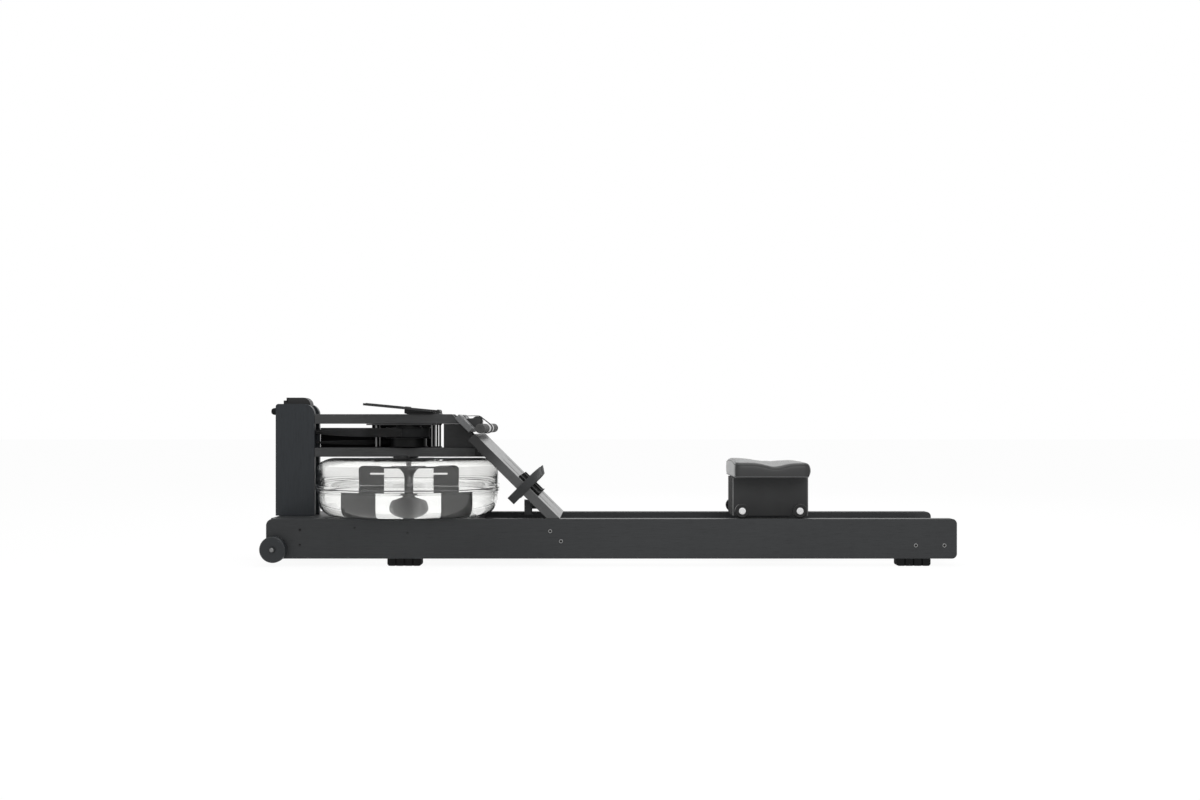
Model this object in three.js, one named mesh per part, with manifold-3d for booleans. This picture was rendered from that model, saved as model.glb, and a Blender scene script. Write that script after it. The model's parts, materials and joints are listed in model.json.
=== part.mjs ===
// A water rowing machine, in millimetres: +X to the rear, +Y to the rower's right, +Z up.
// The origin is the middle of the footprint, on the floor.
import * as THREE from "three";
import { mergeVertices } from "three/addons/utils/BufferGeometryUtils.js";
import Module from "manifold-3d";

const wasm = await Module();
wasm.setup();

// Overall sizes and the clearance that fixed pieces keep to each other
const overallLength = 2100;
const seam = 0.3;
const overrun = 5;
const rear = overallLength / 2;
const front = -rear;

// Rails, cross boards and feet
const railGauge = 350;
const railThickness = 38;
const railHeight = 120;
const railSetback = 15;
const railNoseRadius = 20;
const railTailRadius = 15;
const footHeight = 22;
const footLength = 103;
const footRadius = 8;
const footGroove = 4;
const footGrooveDepth = 6;
const frontFootLead = 13;
const rearFootInset = 131;
const crossThickness = 30;
const frontCrossGap = 131;
const tankCrossLength = 150;
const tankCrossLead = 79;
const rearCrossHeight = 80;
const rearCrossInset = 65;

// Transport wheels
const transportRadius = 40;
const transportWidth = 26;
const transportHeight = 11;
const transportChamfer = 4;
const transportBolt = 5;
const transportBoltHead = 9;
const transportClearance = 1;

// Head column, its cover, its bumpers and the pulleys inside it
const boardThickness = 20;
const boardGap = 46;
const columnInset = 10.5;
const columnDepth = 121;
const columnTop = 491;
const columnNoseRadius = 9;
const columnTailRadius = 33;
const panelThickness = 12;
const panelTop = 470;
const coverTop = 511;
const coverFoot = 471;
const coverStep = 9;
const coverLength = 84;
const coverInset = 20;
const coverWall = 3;
const pulleyInset = 72;
const pulleyWidth = 42;
const pulleyBore = 5;
const strapPulleyRadius = 20;
const strapPulleyHeight = 425;
const recoilPulleyRadius = 18;
const recoilPulleyHeight = 350;
const lowPulleyHeight = 86;
const runningGap = 0.5;

// Arms between the column and the foot board
const upperArmTop = 459;
const upperArmDepth = 30;
const lowerArmTop = 354;
const lowerArmDepth = 28;
const lowerArmGap = 19.36;
const sidePanelLength = 100;
const sidePanelGap = 1;
const sidePanelThickness = 12;
const sidePanelInset = 6;

// Tank, seal, plug and bearing housing
const tankGap = 2.5;
const tankRadius = 281;
const tankWall = 4;
const tankHeelDepth = 46;
const tankTop = 323;
const tankShoulderDepth = 58;
const tankShoulderDrop = 30;
const tankSplit = 230;
const tankBottomWall = 4;
const tankHeelRise = 62;
const flangeReach = 4.5;
const flangeHeight = 9;
const sealHeight = 3;
const sealInset = 1.5;
const neckRadius = 26;
const plugRadius = 24;
const plugHeight = 9;
const plugShare = 0.54745;
const housingRadius = 22;
const housingTop = 356;
const housingFlange = 30;
const housingFlangeHeight = 2.2;
const shaftRadius = 8;
const shaftClearance = 0.5;

// Paddle
const hubRadius = 15;
const hubFlare = 55;
const hubFlareDrop = 70;
const hubFootDrop = 10;
const hubFoot = 18;
const hubBulb = 52;
const hubBulbRise = 32;
const hubWaist = 30;
const hubWaistRise = 54;
const hubStemRise = 68;
const bladeCount = 2;
const bladeInner = 78;
const bladeWidth = 80;
const bladeTop = 306;
const bladeBottom = 160;
const bladeThickness = 5;
const bladeCorner = 20;
const bladeSlotHeight = 8;
const bladeSlotLength = 43;
const bladeSlotDrop = 35;
const armHeight = 10;
const armThickness = 12;

// Drum, straps and guards
const drumRadius = 71;
const drumBottom = 383;
const drumTop = 419;
const drumCore = 42;
const woundRadius = 66;
const cheekThickness = 2;
const capRadius = 39;
const capTop = 423;
const spoolRadius = 60;
const spoolBottom = 356.8;
const strapWidth = 28;
const strapLead = 4;
const strapThickness = 2;
const recoilWidth = 14;
const recoilWound = 56;
const shaftTop = 430;
const plateThickness = 4;
const plateLength = 205;
const plateLead = 126;
const guardThickness = 4;
const guardTop = 416;
const guardLap = 3;
const guardBend = 123;
const guardBow = 33;
const guardBowRun = 30;
const guardReach = 69;

// Handle rest, guide roller and handle
const restThickness = 19;
const restLength = 62;
const restWidth = 200;
const restNotch = 9;
const restLead = 50.36;
const restRise = 31.2;
const rollerRadius = 16.5;
const rollerAlong = 18.5;
const rollerLift = 17.8;
const rollerWidth = 36;
const rollerEar = 4;
const rollerEarRadius = 12;
const rollerEarReach = 30;
const rollerPin = 3;
const handleReach = 63;
const handleDrop = 15;
const handleRadius = 14.4;
const handleCore = 11;
const handleLength = 480;
const handleSleeve = 150;

// Foot board, heel rests and foot straps
const footBoardThickness = 28;
const footBoardWidth = 340;
const footBoardSlope = 44.8;
const footBoardGap = 197;
const footBoardLength = 364;
const footBoardRise = 15;
const footBoardSlot = 8;
const footBoardSlotAlong = 115;
const footBoardSlotLength = 205;
const heelLength = 84;
const heelWidth = 112;
const heelThickness = 9;
const heelLip = 20;
const heelAlong = 185;
const heelOffset = 85;
const footStrapWidth = 27;
const footStrapThickness = 3;
const footStrapAlong = 221;
const footStrapSlot = 10;
const footStrapInner = 20;
const footStrapRise = 62;
const footStrapDrop = 44;
const heelBoltRadius = 3.5;
const heelBoltHead = 9;
const heelBoltHeight = 5;

// Monitor
const monitorLead = 89;
const monitorLength = 228;
const monitorWidth = 150;
const monitorThickness = 7;
const monitorTilt = 5.5;
const monitorPin = 3;
const monitorKnuckle = 5;
const monitorTongue = 40;
const monitorEar = 6;
const bracketBase = 3;
const buttonRadius = 7;
const buttonHeight = 2.5;
const buttonTravel = 1;
const buttonCount = 2;
const buttonInset = 130;
const buttonFloor = 0.7;
const buttonPitch = 30;
const bracketInset = 123;
const bracketWidth = 80;
const wedgeWidth = 60;
const wedgeInset = 9.5;

// Seat and its carriage
const seatInset = 1428;
const seatLength = 236;
const seatWidth = 300;
const seatBottom = 263;
const seatEdge = 45;
const seatDip = 12.5;
const seatDipSetback = 11;
const seatCrown = 12;
const seatPull = 5;
const seatBoardThickness = 12;
const carriageSetback = 4.7;
const carriageLength = 235;
const carriageWidth = 136;
const carriageWall = 5;
const carriageClearance = 2.5;
const seatWheelRadius = 22;
const seatWheelWidth = 14;
const seatWheelTrack = 300;
const seatWheelBase = 175;
const seatWheelInset = 21.5;
const seatAxleRadius = 5;

// Values that follow from the sizes above
const railBottom = footHeight;
const railTop = railBottom + railHeight;
const railOuter = railGauge / 2;
const railInner = railOuter - railThickness;
const railFront = front + railSetback;
const boardInner = boardGap / 2;
const boardOuter = boardInner + boardThickness;
const columnFront = front + columnInset;
const columnRear = columnFront + columnDepth;
const pulleyX = front + pulleyInset;
const flangeRadius = tankRadius + flangeReach;
const tankFoot = tankRadius - tankHeelDepth;
const tankCrown = tankRadius - tankShoulderDepth;
const tankX = columnRear + tankGap + flangeRadius;
const slope = THREE.MathUtils.degToRad(footBoardSlope);
const boardX = tankX + flangeRadius + footBoardGap - footBoardLength * Math.cos(slope);
const boardZ = railTop + seam + footBoardLength * Math.sin(slope);
const armLine = boardX + footBoardRise * Math.cos(slope);
const restX = armLine - restLead;
const restHeight = boardZ + restRise;
const handleHeight = restHeight - handleDrop;
const lowerArmEnd = armLine - lowerArmGap;
const bracketLength = monitorLength - bracketInset;
const plugInset = tankRadius * plugShare;
const upperArmBottom = upperArmTop - upperArmDepth;
const lowerArmBottom = lowerArmTop - lowerArmDepth;
const turn = Math.PI * 2;
const quarter = Math.PI / 2;
const half = 0.5;

// Materials
const paint = (color, roughness, metalness = 0) =>
  new THREE.MeshStandardMaterial({ color, roughness, metalness });
const railWood = paint("#3a3b3d", 0.55);
const columnWood = paint("#2e3134", 0.5);
const armWood = paint("#424444", 0.55);
const blackPlastic = paint("#1d1e1f", 0.5);
const greyPlastic = paint("#4b4b4c", 0.45);
const rubber = paint("#18191a", 0.85);
const darkSteel = paint("#2a2b2c", 0.45, 0.7);
const webbing = paint("#202123", 0.9);
const clear = paint("#dededc", 0.1);
const leather = paint("#3e3e40", 0.6);
const white = paint("#dcdcda", 0.5);

const group = new THREE.Group();

// Adds one named mesh to the group, or to a nested group that is placed by itself
function add(name, geometry, material, parent = group) {
  const mesh = new THREE.Mesh(geometry, material);
  mesh.name = name;
  parent.add(mesh);
  return mesh;
}

// A nested group at a place, turned about Y by an angle
function place(x, y, z, turnY = 0) {
  const nest = new THREE.Group();
  nest.position.set(x, y, z);
  nest.rotation.y = turnY;
  group.add(nest);
  return nest;
}

// Turns a closed geometry into a solid for cuts and joins
function toSolid(geometry) {
  const bare = geometry.index ? geometry.toNonIndexed() : geometry.clone();
  bare.deleteAttribute("normal");
  bare.deleteAttribute("uv");
  const merged = mergeVertices(bare, 0.001);
  return new wasm.Manifold(new wasm.Mesh({
    numProp: 3,
    vertProperties: new Float32Array(merged.attributes.position.array),
    triVerts: new Uint32Array(merged.index.array),
  }));
}

// Turns a solid back into a geometry
function toGeometry(solid) {
  const mesh = solid.getMesh();
  const geometry = new THREE.BufferGeometry();
  geometry.setAttribute("position", new THREE.BufferAttribute(new Float32Array(mesh.vertProperties), 3));
  geometry.setIndex(new THREE.BufferAttribute(new Uint32Array(mesh.triVerts), 1));
  return geometry;
}

const cut = (body, ...tools) =>
  toGeometry(tools.reduce((solid, tool) => solid.subtract(toSolid(tool)), toSolid(body)));
const join = (...bodies) => toGeometry(bodies.map(toSolid).reduce((sum, one) => sum.add(one)));

// A box between two corners
function box(x0, x1, y0, y1, z0, z1) {
  const geometry = new THREE.BoxGeometry(x1 - x0, y1 - y0, z1 - z0);
  geometry.translate((x0 + x1) * half, (y0 + y1) * half, (z0 + z1) * half);
  return geometry;
}

// An outline in X and Z made thick along Y, from y0 to y1
function sideBoard(shape, y0, y1, curveSegments = 6) {
  const geometry = new THREE.ExtrudeGeometry(shape, { depth: y1 - y0, bevelEnabled: false, curveSegments });
  geometry.rotateX(quarter);
  geometry.translate(0, y1, 0);
  return geometry;
}

// An outline in X and Y made thick along Z, from z0 to z1
function flatBoard(shape, z0, z1, curveSegments = 6) {
  const geometry = new THREE.ExtrudeGeometry(shape, { depth: z1 - z0, bevelEnabled: false, curveSegments });
  geometry.translate(0, 0, z0);
  return geometry;
}

// A rectangle whose four corners have their own radii: low left, low right, high right, high left
function rounded(x0, x1, z0, z1, a, b = a, c = a, d = a) {
  const shape = new THREE.Shape();
  shape.moveTo(x0 + a, z0);
  shape.lineTo(x1 - b, z0);
  if (b > 0) shape.absarc(x1 - b, z0 + b, b, -quarter, 0);
  shape.lineTo(x1, z1 - c);
  if (c > 0) shape.absarc(x1 - c, z1 - c, c, 0, quarter);
  shape.lineTo(x0 + d, z1);
  if (d > 0) shape.absarc(x0 + d, z1 - d, d, quarter, 2 * quarter);
  shape.lineTo(x0, z0 + a);
  if (a > 0) shape.absarc(x0 + a, z0 + a, a, 2 * quarter, 3 * quarter);
  return shape;
}

// A closed outline through points given as pairs
function outline(points) {
  return new THREE.Shape(points.map(([x, y]) => new THREE.Vector2(x, y)));
}

// A round solid about Z from a list of radius and height pairs
function turned(points, sides = 24) {
  const profile = points.map(([radius, height]) => new THREE.Vector2(radius, height));
  const geometry = new THREE.LatheGeometry([...profile, profile[0]], sides);
  geometry.rotateX(quarter);
  return geometry;
}

// A rod about Z, Y or X between two ends
function rod(radius, start, end, axis = "z", sides = 24) {
  const geometry = new THREE.CylinderGeometry(radius, radius, end - start, sides);
  geometry.translate(0, (start + end) * half, 0);
  if (axis === "z") geometry.rotateX(quarter);
  if (axis === "x") geometry.rotateZ(-quarter);
  return geometry;
}

// The same geometry moved to another place
function moved(geometry, x, y, z) {
  geometry.translate(x, y, z);
  return geometry;
}

// A flat band through stations, each with a middle point, the way across and the way through it
function band(stations, width, thickness, closed = false) {
  const positions = [];
  for (const { point, across, through } of stations) {
    for (const [a, t] of [[-half, -half], [half, -half], [half, half], [-half, half]]) {
      const corner = point.clone().addScaledVector(across, a * width).addScaledVector(through, t * thickness);
      positions.push(corner.x, corner.y, corner.z);
    }
  }
  const faces = [];
  const count = stations.length;
  for (let i = 0; i < (closed ? count : count - 1); i += 1) {
    const here = 4 * i;
    const next = 4 * ((i + 1) % count);
    for (let k = 0; k < 4; k += 1) {
      const l = (k + 1) % 4;
      faces.push(here + k, here + l, next + l, here + k, next + l, next + k);
    }
  }
  const last = 4 * (count - 1);
  if (!closed) faces.push(0, 3, 2, 0, 2, 1, last, last + 1, last + 2, last, last + 2, last + 3);
  const geometry = new THREE.BufferGeometry();
  geometry.setAttribute("position", new THREE.Float32BufferAttribute(positions, 3));
  geometry.setIndex(faces);
  return geometry;
}

const vector = (x, y, z) => new THREE.Vector3(x, y, z);
const sides = [["left", -1], ["right", 1]];

// Puts a span of distances from the middle plane on the left or on the right
const onSide = (sign, inner, outer) => (sign < 0 ? [-outer, -inner] : [inner, outer]);

// A band along a path, with the way across given at each point, travelling from first to last
function ribbon(points, acrossAt, width, thickness, closed = false) {
  const count = points.length;
  const stations = points.map((point, i) => {
    const before = points[closed ? (i + count - 1) % count : Math.max(i - 1, 0)];
    const after = points[closed ? (i + 1) % count : Math.min(i + 1, count - 1)];
    const along = after.clone().sub(before).normalize();
    const wide = acrossAt(i / (count - 1));
    const across = wide.clone().addScaledVector(along, -wide.dot(along)).normalize();
    return { point, across, through: along.clone().cross(across).normalize() };
  });
  return band(stations, width, thickness, closed);
}

// Points of an arc in the X and Z plane, between two angles from +X towards +Z
function arc(x, z, radius, from, to, steps) {
  const points = [];
  for (let i = 0; i <= steps; i += 1) {
    const angle = from + ((to - from) * i) / steps;
    points.push(vector(x + radius * Math.cos(angle), 0, z + radius * Math.sin(angle)));
  }
  return points;
}

// Angle of the outer tangent's normal over two circles in the X and Z plane
function overTangent(x1, z1, r1, x2, z2, r2) {
  const distance = Math.hypot(x2 - x1, z2 - z1);
  return Math.atan2(z2 - z1, x2 - x1) + Math.acos((r1 - r2) / distance);
}

// Two long rails, each with the bolt that its transport wheel turns on
const wheelX = front + transportRadius;
const wheelZ = transportHeight + transportRadius;
const wheelInner = railOuter + transportClearance;
const wheelOuter = wheelInner + transportWidth;
function rails() {
  for (const [side, sign] of sides) {
    const [y0, y1] = onSide(sign, railInner, railOuter);
    const shape = rounded(railFront, rear, railBottom, railTop,
      railNoseRadius, railTailRadius, railTailRadius, railNoseRadius);
    const [s0, s1] = onSide(sign, railInner, wheelOuter + runningGap);
    const [h0, h1] = onSide(sign, wheelOuter + runningGap, wheelOuter + runningGap + transportBolt);
    const shank = moved(rod(transportBolt, s0, s1, "y"), wheelX, 0, wheelZ);
    const head = moved(rod(transportBoltHead, h0, h1, "y"), wheelX, 0, wheelZ);
    add(`rail_${side}`, join(sideBoard(shape, y0, y1, 5), shank, head), railWood);
  }
}

// Boards that tie the rails; the front one is slotted for the recoil strap, the next one anchors it
const crossTop = railTop - seam;
const crossBottom = crossTop - crossThickness;
const crossHalf = railInner - seam;
const recoilRing = recoilPulleyRadius + runningGap + strapThickness * half;
const recoilX = pulleyX - recoilRing;
const tankCrossX = tankX + tankCrossLead;
function crossBoards() {
  const x0 = railFront + overrun;
  const slotHalf = recoilWidth * half + overrun;
  const slot = box(recoilX - overrun, recoilX + overrun, -slotHalf, slotHalf,
    crossBottom - overrun, crossTop + overrun);
  const frontBoard = box(x0, tankX - frontCrossGap, -crossHalf, crossHalf, crossBottom, crossTop);
  add("front_cross_board", cut(frontBoard, slot), railWood);
  const hook = recoilWidth * half + overrun;
  add("tank_cross_board", join(
    box(tankCrossX, tankCrossX + tankCrossLength, -crossHalf, crossHalf, crossBottom, crossTop),
    box(tankCrossX, tankCrossX + crossThickness, -hook, hook, lowPulleyHeight - recoilRing - overrun,
      crossBottom + overrun)), railWood);
  const middle = (railBottom + railTop) * half;
  const rearX = rear - rearCrossInset;
  add("rear_cross_board", box(rearX, rearX + boardThickness, -crossHalf, crossHalf,
    middle - rearCrossHeight * half, middle + rearCrossHeight * half), railWood);
}

// Rubber feet with upright grooves in the side that shows
function feet() {
  for (const [side, sign] of sides) {
    const [y0, y1] = onSide(sign, railInner, railOuter);
    const places = [["front", tankX + frontFootLead - footLength * half],
      ["rear", rear - rearFootInset - footLength * half]];
    for (const [end, x0] of places) {
      const shape = rounded(x0, x0 + footLength, 0, footHeight - seam, footRadius, footRadius, 0, 0);
      const outer = sign * railOuter;
      const [g0, g1] = sign < 0
        ? [outer - overrun, outer + footGrooveDepth]
        : [outer - footGrooveDepth, outer + overrun];
      const grooves = [1, 2, 3].map((k) => {
        const middle = x0 + (footLength * k) / 4;
        const g = footGroove * half;
        return box(middle - g, middle + g, g0, g1, -overrun, footHeight + overrun);
      });
      add(`foot_${end}_${side}`, cut(sideBoard(shape, y0, y1, 4), ...grooves), rubber);
    }
  }
}

// A transport wheel outside each rail
function transportWheels() {
  for (const [side, sign] of sides) {
    const bore = transportBolt + runningGap;
    const tread = transportRadius - transportChamfer;
    const start = wheelInner + transportChamfer;
    const end = wheelOuter - transportChamfer;
    const wheel = turned([[bore, wheelInner], [tread, wheelInner], [transportRadius, start],
      [transportRadius, end], [tread, wheelOuter], [bore, wheelOuter]]);
    wheel.rotateX(sign < 0 ? quarter : -quarter);
    add(`transport_wheel_${side}`, moved(wheel, wheelX, 0, wheelZ), rubber);
  }
}

// Column boards: the left one carries the pulley axles, the right one is bored for them
const columnBottom = railTop + seam;
const axleHeights = [strapPulleyHeight, recoilPulleyHeight];
function column() {
  for (const [side, sign] of sides) {
    const [y0, y1] = onSide(sign, boardInner, boardOuter);
    const shape = rounded(columnFront, columnRear, columnBottom, columnTop,
      0, 0, columnTailRadius, columnNoseRadius);
    const board = sideBoard(shape, y0, y1, 8);
    const along = (radius, start, end) =>
      axleHeights.map((z) => moved(rod(radius, start, end, "y", 20), pulleyX, 0, z));
    const body = sign < 0
      ? join(board, ...along(pulleyBore, y0, boardOuter - cheekThickness))
      : cut(board, ...along(pulleyBore + seam, y0 - overrun, y1 + overrun));
    add(`column_board_${side}`, body, columnWood);
  }
  const inside = boardInner - seam;
  add("column_front_panel", box(columnFront, columnFront + panelThickness, -inside, inside,
    columnBottom, panelTop), columnWood);
}

// Arched cover between the boards, open below, with a low step in front
function pulleyCover() {
  const x0 = columnFront + coverInset;
  const x1 = x0 + coverLength;
  const inside = boardInner - seam;
  const coverTail = columnTailRadius - columnNoseRadius;
  const shape = rounded(x0, x1, coverFoot, coverTop, 0, 0, coverTail, columnNoseRadius);
  const hollow = box(x0 + coverWall, x1 - coverWall, -inside + coverWall, inside - coverWall,
    coverFoot - overrun, coverTop - columnNoseRadius - coverWall);
  const step = box(x0 - overrun, x0 + coverStep, -inside - overrun, inside + overrun,
    coverTop - coverStep, coverTop + overrun);
  add("pulley_cover", cut(sideBoard(shape, -inside, inside, 8), hollow, step), blackPlastic);
}

// Pulleys of the strap and of the recoil strap, and the bracket of the low one
function pulley(name, radius, z) {
  const w = pulleyWidth * half;
  const bore = pulleyBore + runningGap;
  const rim = radius - runningGap;
  const body = turned([[bore, -w], [radius, -w], [radius, -w + cheekThickness], [rim, -w + cheekThickness],
    [rim, w - cheekThickness], [radius, w - cheekThickness], [radius, w], [bore, w]], 20);
  body.rotateX(-quarter);
  add(name, moved(body, pulleyX, 0, z), greyPlastic);
}
function pulleys() {
  pulley("strap_pulley", strapPulleyRadius, strapPulleyHeight);
  pulley("recoil_pulley", recoilPulleyRadius, recoilPulleyHeight);
  pulley("low_pulley", recoilPulleyRadius, lowPulleyHeight);
  const inner = pulleyWidth * half + seam;
  const outer = inner + plateThickness;
  const x0 = pulleyX - pulleyBore - cheekThickness;
  const x1 = pulleyX + pulleyBore + cheekThickness;
  const bottom = lowPulleyHeight - pulleyBore - cheekThickness;
  const top = crossBottom - seam;
  add("low_pulley_bracket", join(
    box(x0, x1, -outer, -inner, bottom, top),
    box(x0, x1, inner, outer, bottom, top),
    box(x0, x1, -outer, outer, top - plateThickness, top),
    moved(rod(pulleyBore, -outer, outer, "y", 20), pulleyX, 0, lowPulleyHeight)), darkSteel);
}

// Upper arms with mitred ends, lower arms, and the side panels between them
const restUnder = restX + restHeight - (restThickness * half + seam) * Math.SQRT2;
function arms() {
  for (const [side, sign] of sides) {
    const [y0, y1] = onSide(sign, boardInner, boardOuter);
    const x0 = columnRear + seam;
    const upper = outline([[x0, upperArmBottom], [restUnder - upperArmBottom, upperArmBottom],
      [restUnder - upperArmTop, upperArmTop], [x0, upperArmTop]]);
    add(`upper_arm_${side}`, sideBoard(upper, y0, y1), armWood);
    add(`lower_arm_${side}`, box(x0, lowerArmEnd, y0, y1, lowerArmBottom, lowerArmTop), armWood);
    const panelFace = boardOuter - sidePanelInset;
    const [p0, p1] = onSide(sign, panelFace - sidePanelThickness, panelFace);
    const low = lowerArmTop + seam;
    const high = upperArmBottom - seam;
    const px1 = lowerArmEnd - sidePanelGap;
    const px0 = px1 - sidePanelLength;
    const underX = boardX - footBoardThickness * Math.sin(slope);
    const underZ = boardZ - footBoardThickness * Math.cos(slope);
    const px2 = underX - sidePanelGap;
    const notchZ = underZ - (px1 - px2) * Math.tan(slope);
    const panel = outline([[px0, low], [px1, low], [px1, notchZ], [px2, underZ], [px2, restUnder - px2],
      [restUnder - high, high], [px0, high]]);
    add(`side_panel_${side}`, sideBoard(panel, p0, p1), columnWood);
  }
}

// Plate over the drum, and the guard behind the strap, which bows out round the drum
function guards() {
  const top = upperArmBottom - seam;
  const x0 = tankX - plateLead;
  const plate = box(x0, x0 + plateLength, -boardOuter, boardOuter, top - plateThickness, top);
  const hole = moved(rod(shaftRadius + shaftClearance, top - railInner, top + overrun), tankX, 0, 0);
  add("drum_top_plate", cut(plate, hole), darkSteel);
  const g0 = columnRear + seam;
  const g1 = tankX - guardBend;
  const g2 = g1 + guardBowRun;
  const g3 = tankX + guardReach;
  const near = boardOuter + seam;
  const far = near + guardThickness;
  const shift = guardThickness * Math.tan(Math.atan2(guardBow, guardBowRun) * half);
  const bowed = [[g1, near], [g2, near + guardBow], [g3, near + guardBow], [g3, far + guardBow],
    [g2 - shift, far + guardBow], [g1 - shift, far]];
  const low = flatBoard(outline([[g0, near], ...bowed, [g0, far]]), lowerArmBottom, guardTop);
  const high = flatBoard(outline(bowed), guardTop - overrun, upperArmBottom + guardLap);
  add("belt_guard", join(low, high), blackPlastic);
}

// Clear tank in two halves with flanges, a seal, a fill plug and the housing of the shaft's bearing
const tankBase = railTop + seam;
function tank() {
  const inner = tankRadius - tankWall;
  const upperStart = tankSplit + sealHeight * half;
  const lowerEnd = tankSplit - sealHeight * half;
  const steps = 5;
  const bend = (radius, height, wide, tall, from, to) => {
    const points = [];
    for (let i = 0; i <= steps; i += 1) {
      const angle = from + ((to - from) * i) / steps;
      points.push([radius + wide * Math.cos(angle), height + tall * Math.sin(angle)]);
    }
    return points;
  };
  const wide = tankRadius - tankCrown;
  const springZ = tankTop - tankShoulderDrop;
  const lip = upperStart + flangeHeight;
  const upper = turned([[inner, upperStart], [flangeRadius, upperStart],
    [flangeRadius, lip], [tankRadius, lip],
    ...bend(tankCrown, springZ, wide, tankShoulderDrop, 0, quarter),
    [neckRadius, tankTop], [neckRadius, tankTop - tankWall],
    ...bend(tankCrown, springZ, wide - tankWall, tankShoulderDrop - tankWall, quarter, 0)], 48);
  const fill = moved(rod(plugRadius - tankWall, springZ, tankTop + overrun, "z", 24), 0, -plugInset, 0);
  add("tank_shell_upper", moved(cut(upper, fill), tankX, 0, 0), clear);
  const heel = tankRadius - tankFoot;
  const heelZ = tankBase + tankHeelRise;
  const lower = turned([[0, tankBase], ...bend(tankFoot, heelZ, heel, tankHeelRise, -quarter, 0),
    [tankRadius, lowerEnd - flangeHeight], [flangeRadius, lowerEnd - flangeHeight], [flangeRadius, lowerEnd],
    [inner, lowerEnd], ...bend(tankFoot, heelZ, heel - tankWall, tankHeelRise - tankBottomWall, 0, -quarter),
    [0, tankBase + tankBottomWall]], 48);
  add("tank_shell_lower", moved(lower, tankX, 0, 0), clear);
  const seal = turned([[inner + sealInset, lowerEnd + seam], [flangeRadius - sealInset, lowerEnd + seam],
    [flangeRadius - sealInset, upperStart - seam], [inner + sealInset, upperStart - seam]], 48);
  add("tank_seal", moved(seal, tankX, 0, 0), rubber);
  const stem = plugRadius - tankWall - seam;
  const plug = turned([[0, tankTop - tankWall], [stem, tankTop - tankWall], [stem, tankTop + seam],
    [plugRadius, tankTop + seam], [plugRadius, tankTop + plugHeight], [0, tankTop + plugHeight]]);
  add("tank_fill_plug", moved(plug, tankX, -plugInset, 0), blackPlastic);
  const bore = shaftRadius + shaftClearance;
  const foot = tankTop + seam;
  const housing = turned([[bore, foot], [housingFlange, foot], [housingFlange, foot + housingFlangeHeight],
    [housingRadius, foot + housingFlangeHeight], [housingRadius, housingTop], [bore, housingTop]]);
  add("bearing_housing", moved(housing, tankX, 0, 0), blackPlastic);
}

// Paddle: a hub with a flare above and a bulb below, arms and slotted blades,
// on a steel shaft that reaches the plate over the drum
function paddle() {
  const foot = bladeBottom - hubFootDrop;
  let rotor = turned([[0, foot], [hubFoot, foot], [hubBulb, foot + hubBulbRise],
    [hubWaist, foot + hubWaistRise], [hubRadius, foot + hubStemRise],
    [hubRadius, bladeTop - hubFlareDrop], [hubFlare, bladeTop], [0, bladeTop]], 24);
  for (let k = 0; k < bladeCount; k += 1) {
    const outer = bladeInner + bladeWidth;
    const shape = rounded(bladeInner, outer, bladeBottom, bladeTop, bladeCorner);
    const plate = sideBoard(shape, -bladeThickness * half, bladeThickness * half, 4);
    const slotTop = bladeTop - bladeSlotDrop;
    const slot = box(bladeInner - overrun, bladeInner + bladeSlotLength, -bladeThickness, bladeThickness,
      slotTop - bladeSlotHeight, slotTop);
    const a = armThickness * half;
    const arm = box(hubRadius + bladeThickness, outer - bladeCorner, -a, a,
      bladeTop - armHeight - bladeThickness, bladeTop - bladeThickness);
    const blade = join(cut(plate, slot), arm);
    blade.rotateZ((turn * k) / bladeCount);
    rotor = join(rotor, blade);
  }
  const shaft = rod(shaftRadius, bladeBottom + seam, shaftTop, "z", 24);
  add("paddle", moved(join(rotor, shaft), tankX, 0, 0), greyPlastic);
}

// Drum with a lower spool, where the recoil strap is wound, and the strap wound on the drum
function drum() {
  const bore = shaftRadius + seam;
  const c = cheekThickness;
  const body = turned([[bore, spoolBottom], [spoolRadius, spoolBottom], [spoolRadius, spoolBottom + c],
    [recoilWound, spoolBottom + c], [recoilWound, drumBottom], [drumRadius, drumBottom],
    [drumRadius, drumBottom + c],
    [drumCore, drumBottom + c], [drumCore, drumTop - c], [drumRadius, drumTop - c], [drumRadius, drumTop],
    [capRadius, drumTop], [capRadius, capTop], [bore, capTop]], 36);
  add("strap_drum", moved(body, tankX, 0, 0), blackPlastic);
  const low = strapLine - strapWidth * half;
  const high = strapLine + strapWidth * half;
  const start = drumCore + seam;
  const ring = turned([[start, low], [woundRadius, low], [woundRadius, high], [start, high]], 36);
  add("strap_wound", moved(ring, tankX, 0, 0), webbing);
}
const strapLine = (drumBottom + drumTop) * half;
const strapRing = strapPulleyRadius + runningGap + strapThickness * half;
const recoilLine = recoilPulleyHeight + recoilRing;

// A run that leaves a pulley flat and turns a quarter on its way to the side of a drum
function twistedRun(start, radius, height, side) {
  const distance = tankX - pulleyX;
  const lean = radius / distance;
  const end = vector(tankX - radius * lean, side * radius * Math.sqrt(1 - lean * lean), height);
  const points = [];
  for (let i = 1; i <= twistSteps; i += 1) points.push(end.clone().lerp(start, i / twistSteps));
  return [end, ...points];
}
const twistSteps = 18;

// The way across a band that starts upright at the drum and lies flat after its twist
function untwist(count) {
  const twistShare = twistSteps / (count - 1);
  const uprightShare = 0.3;
  return (t) => {
    const progress = (t / twistShare - uprightShare) / (1 - uprightShare);
    const angle = quarter * THREE.MathUtils.clamp(progress, 0, 1);
    return vector(0, -Math.sin(angle), Math.cos(angle));
  };
}
const flat = () => vector(0, 1, 0);

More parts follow.
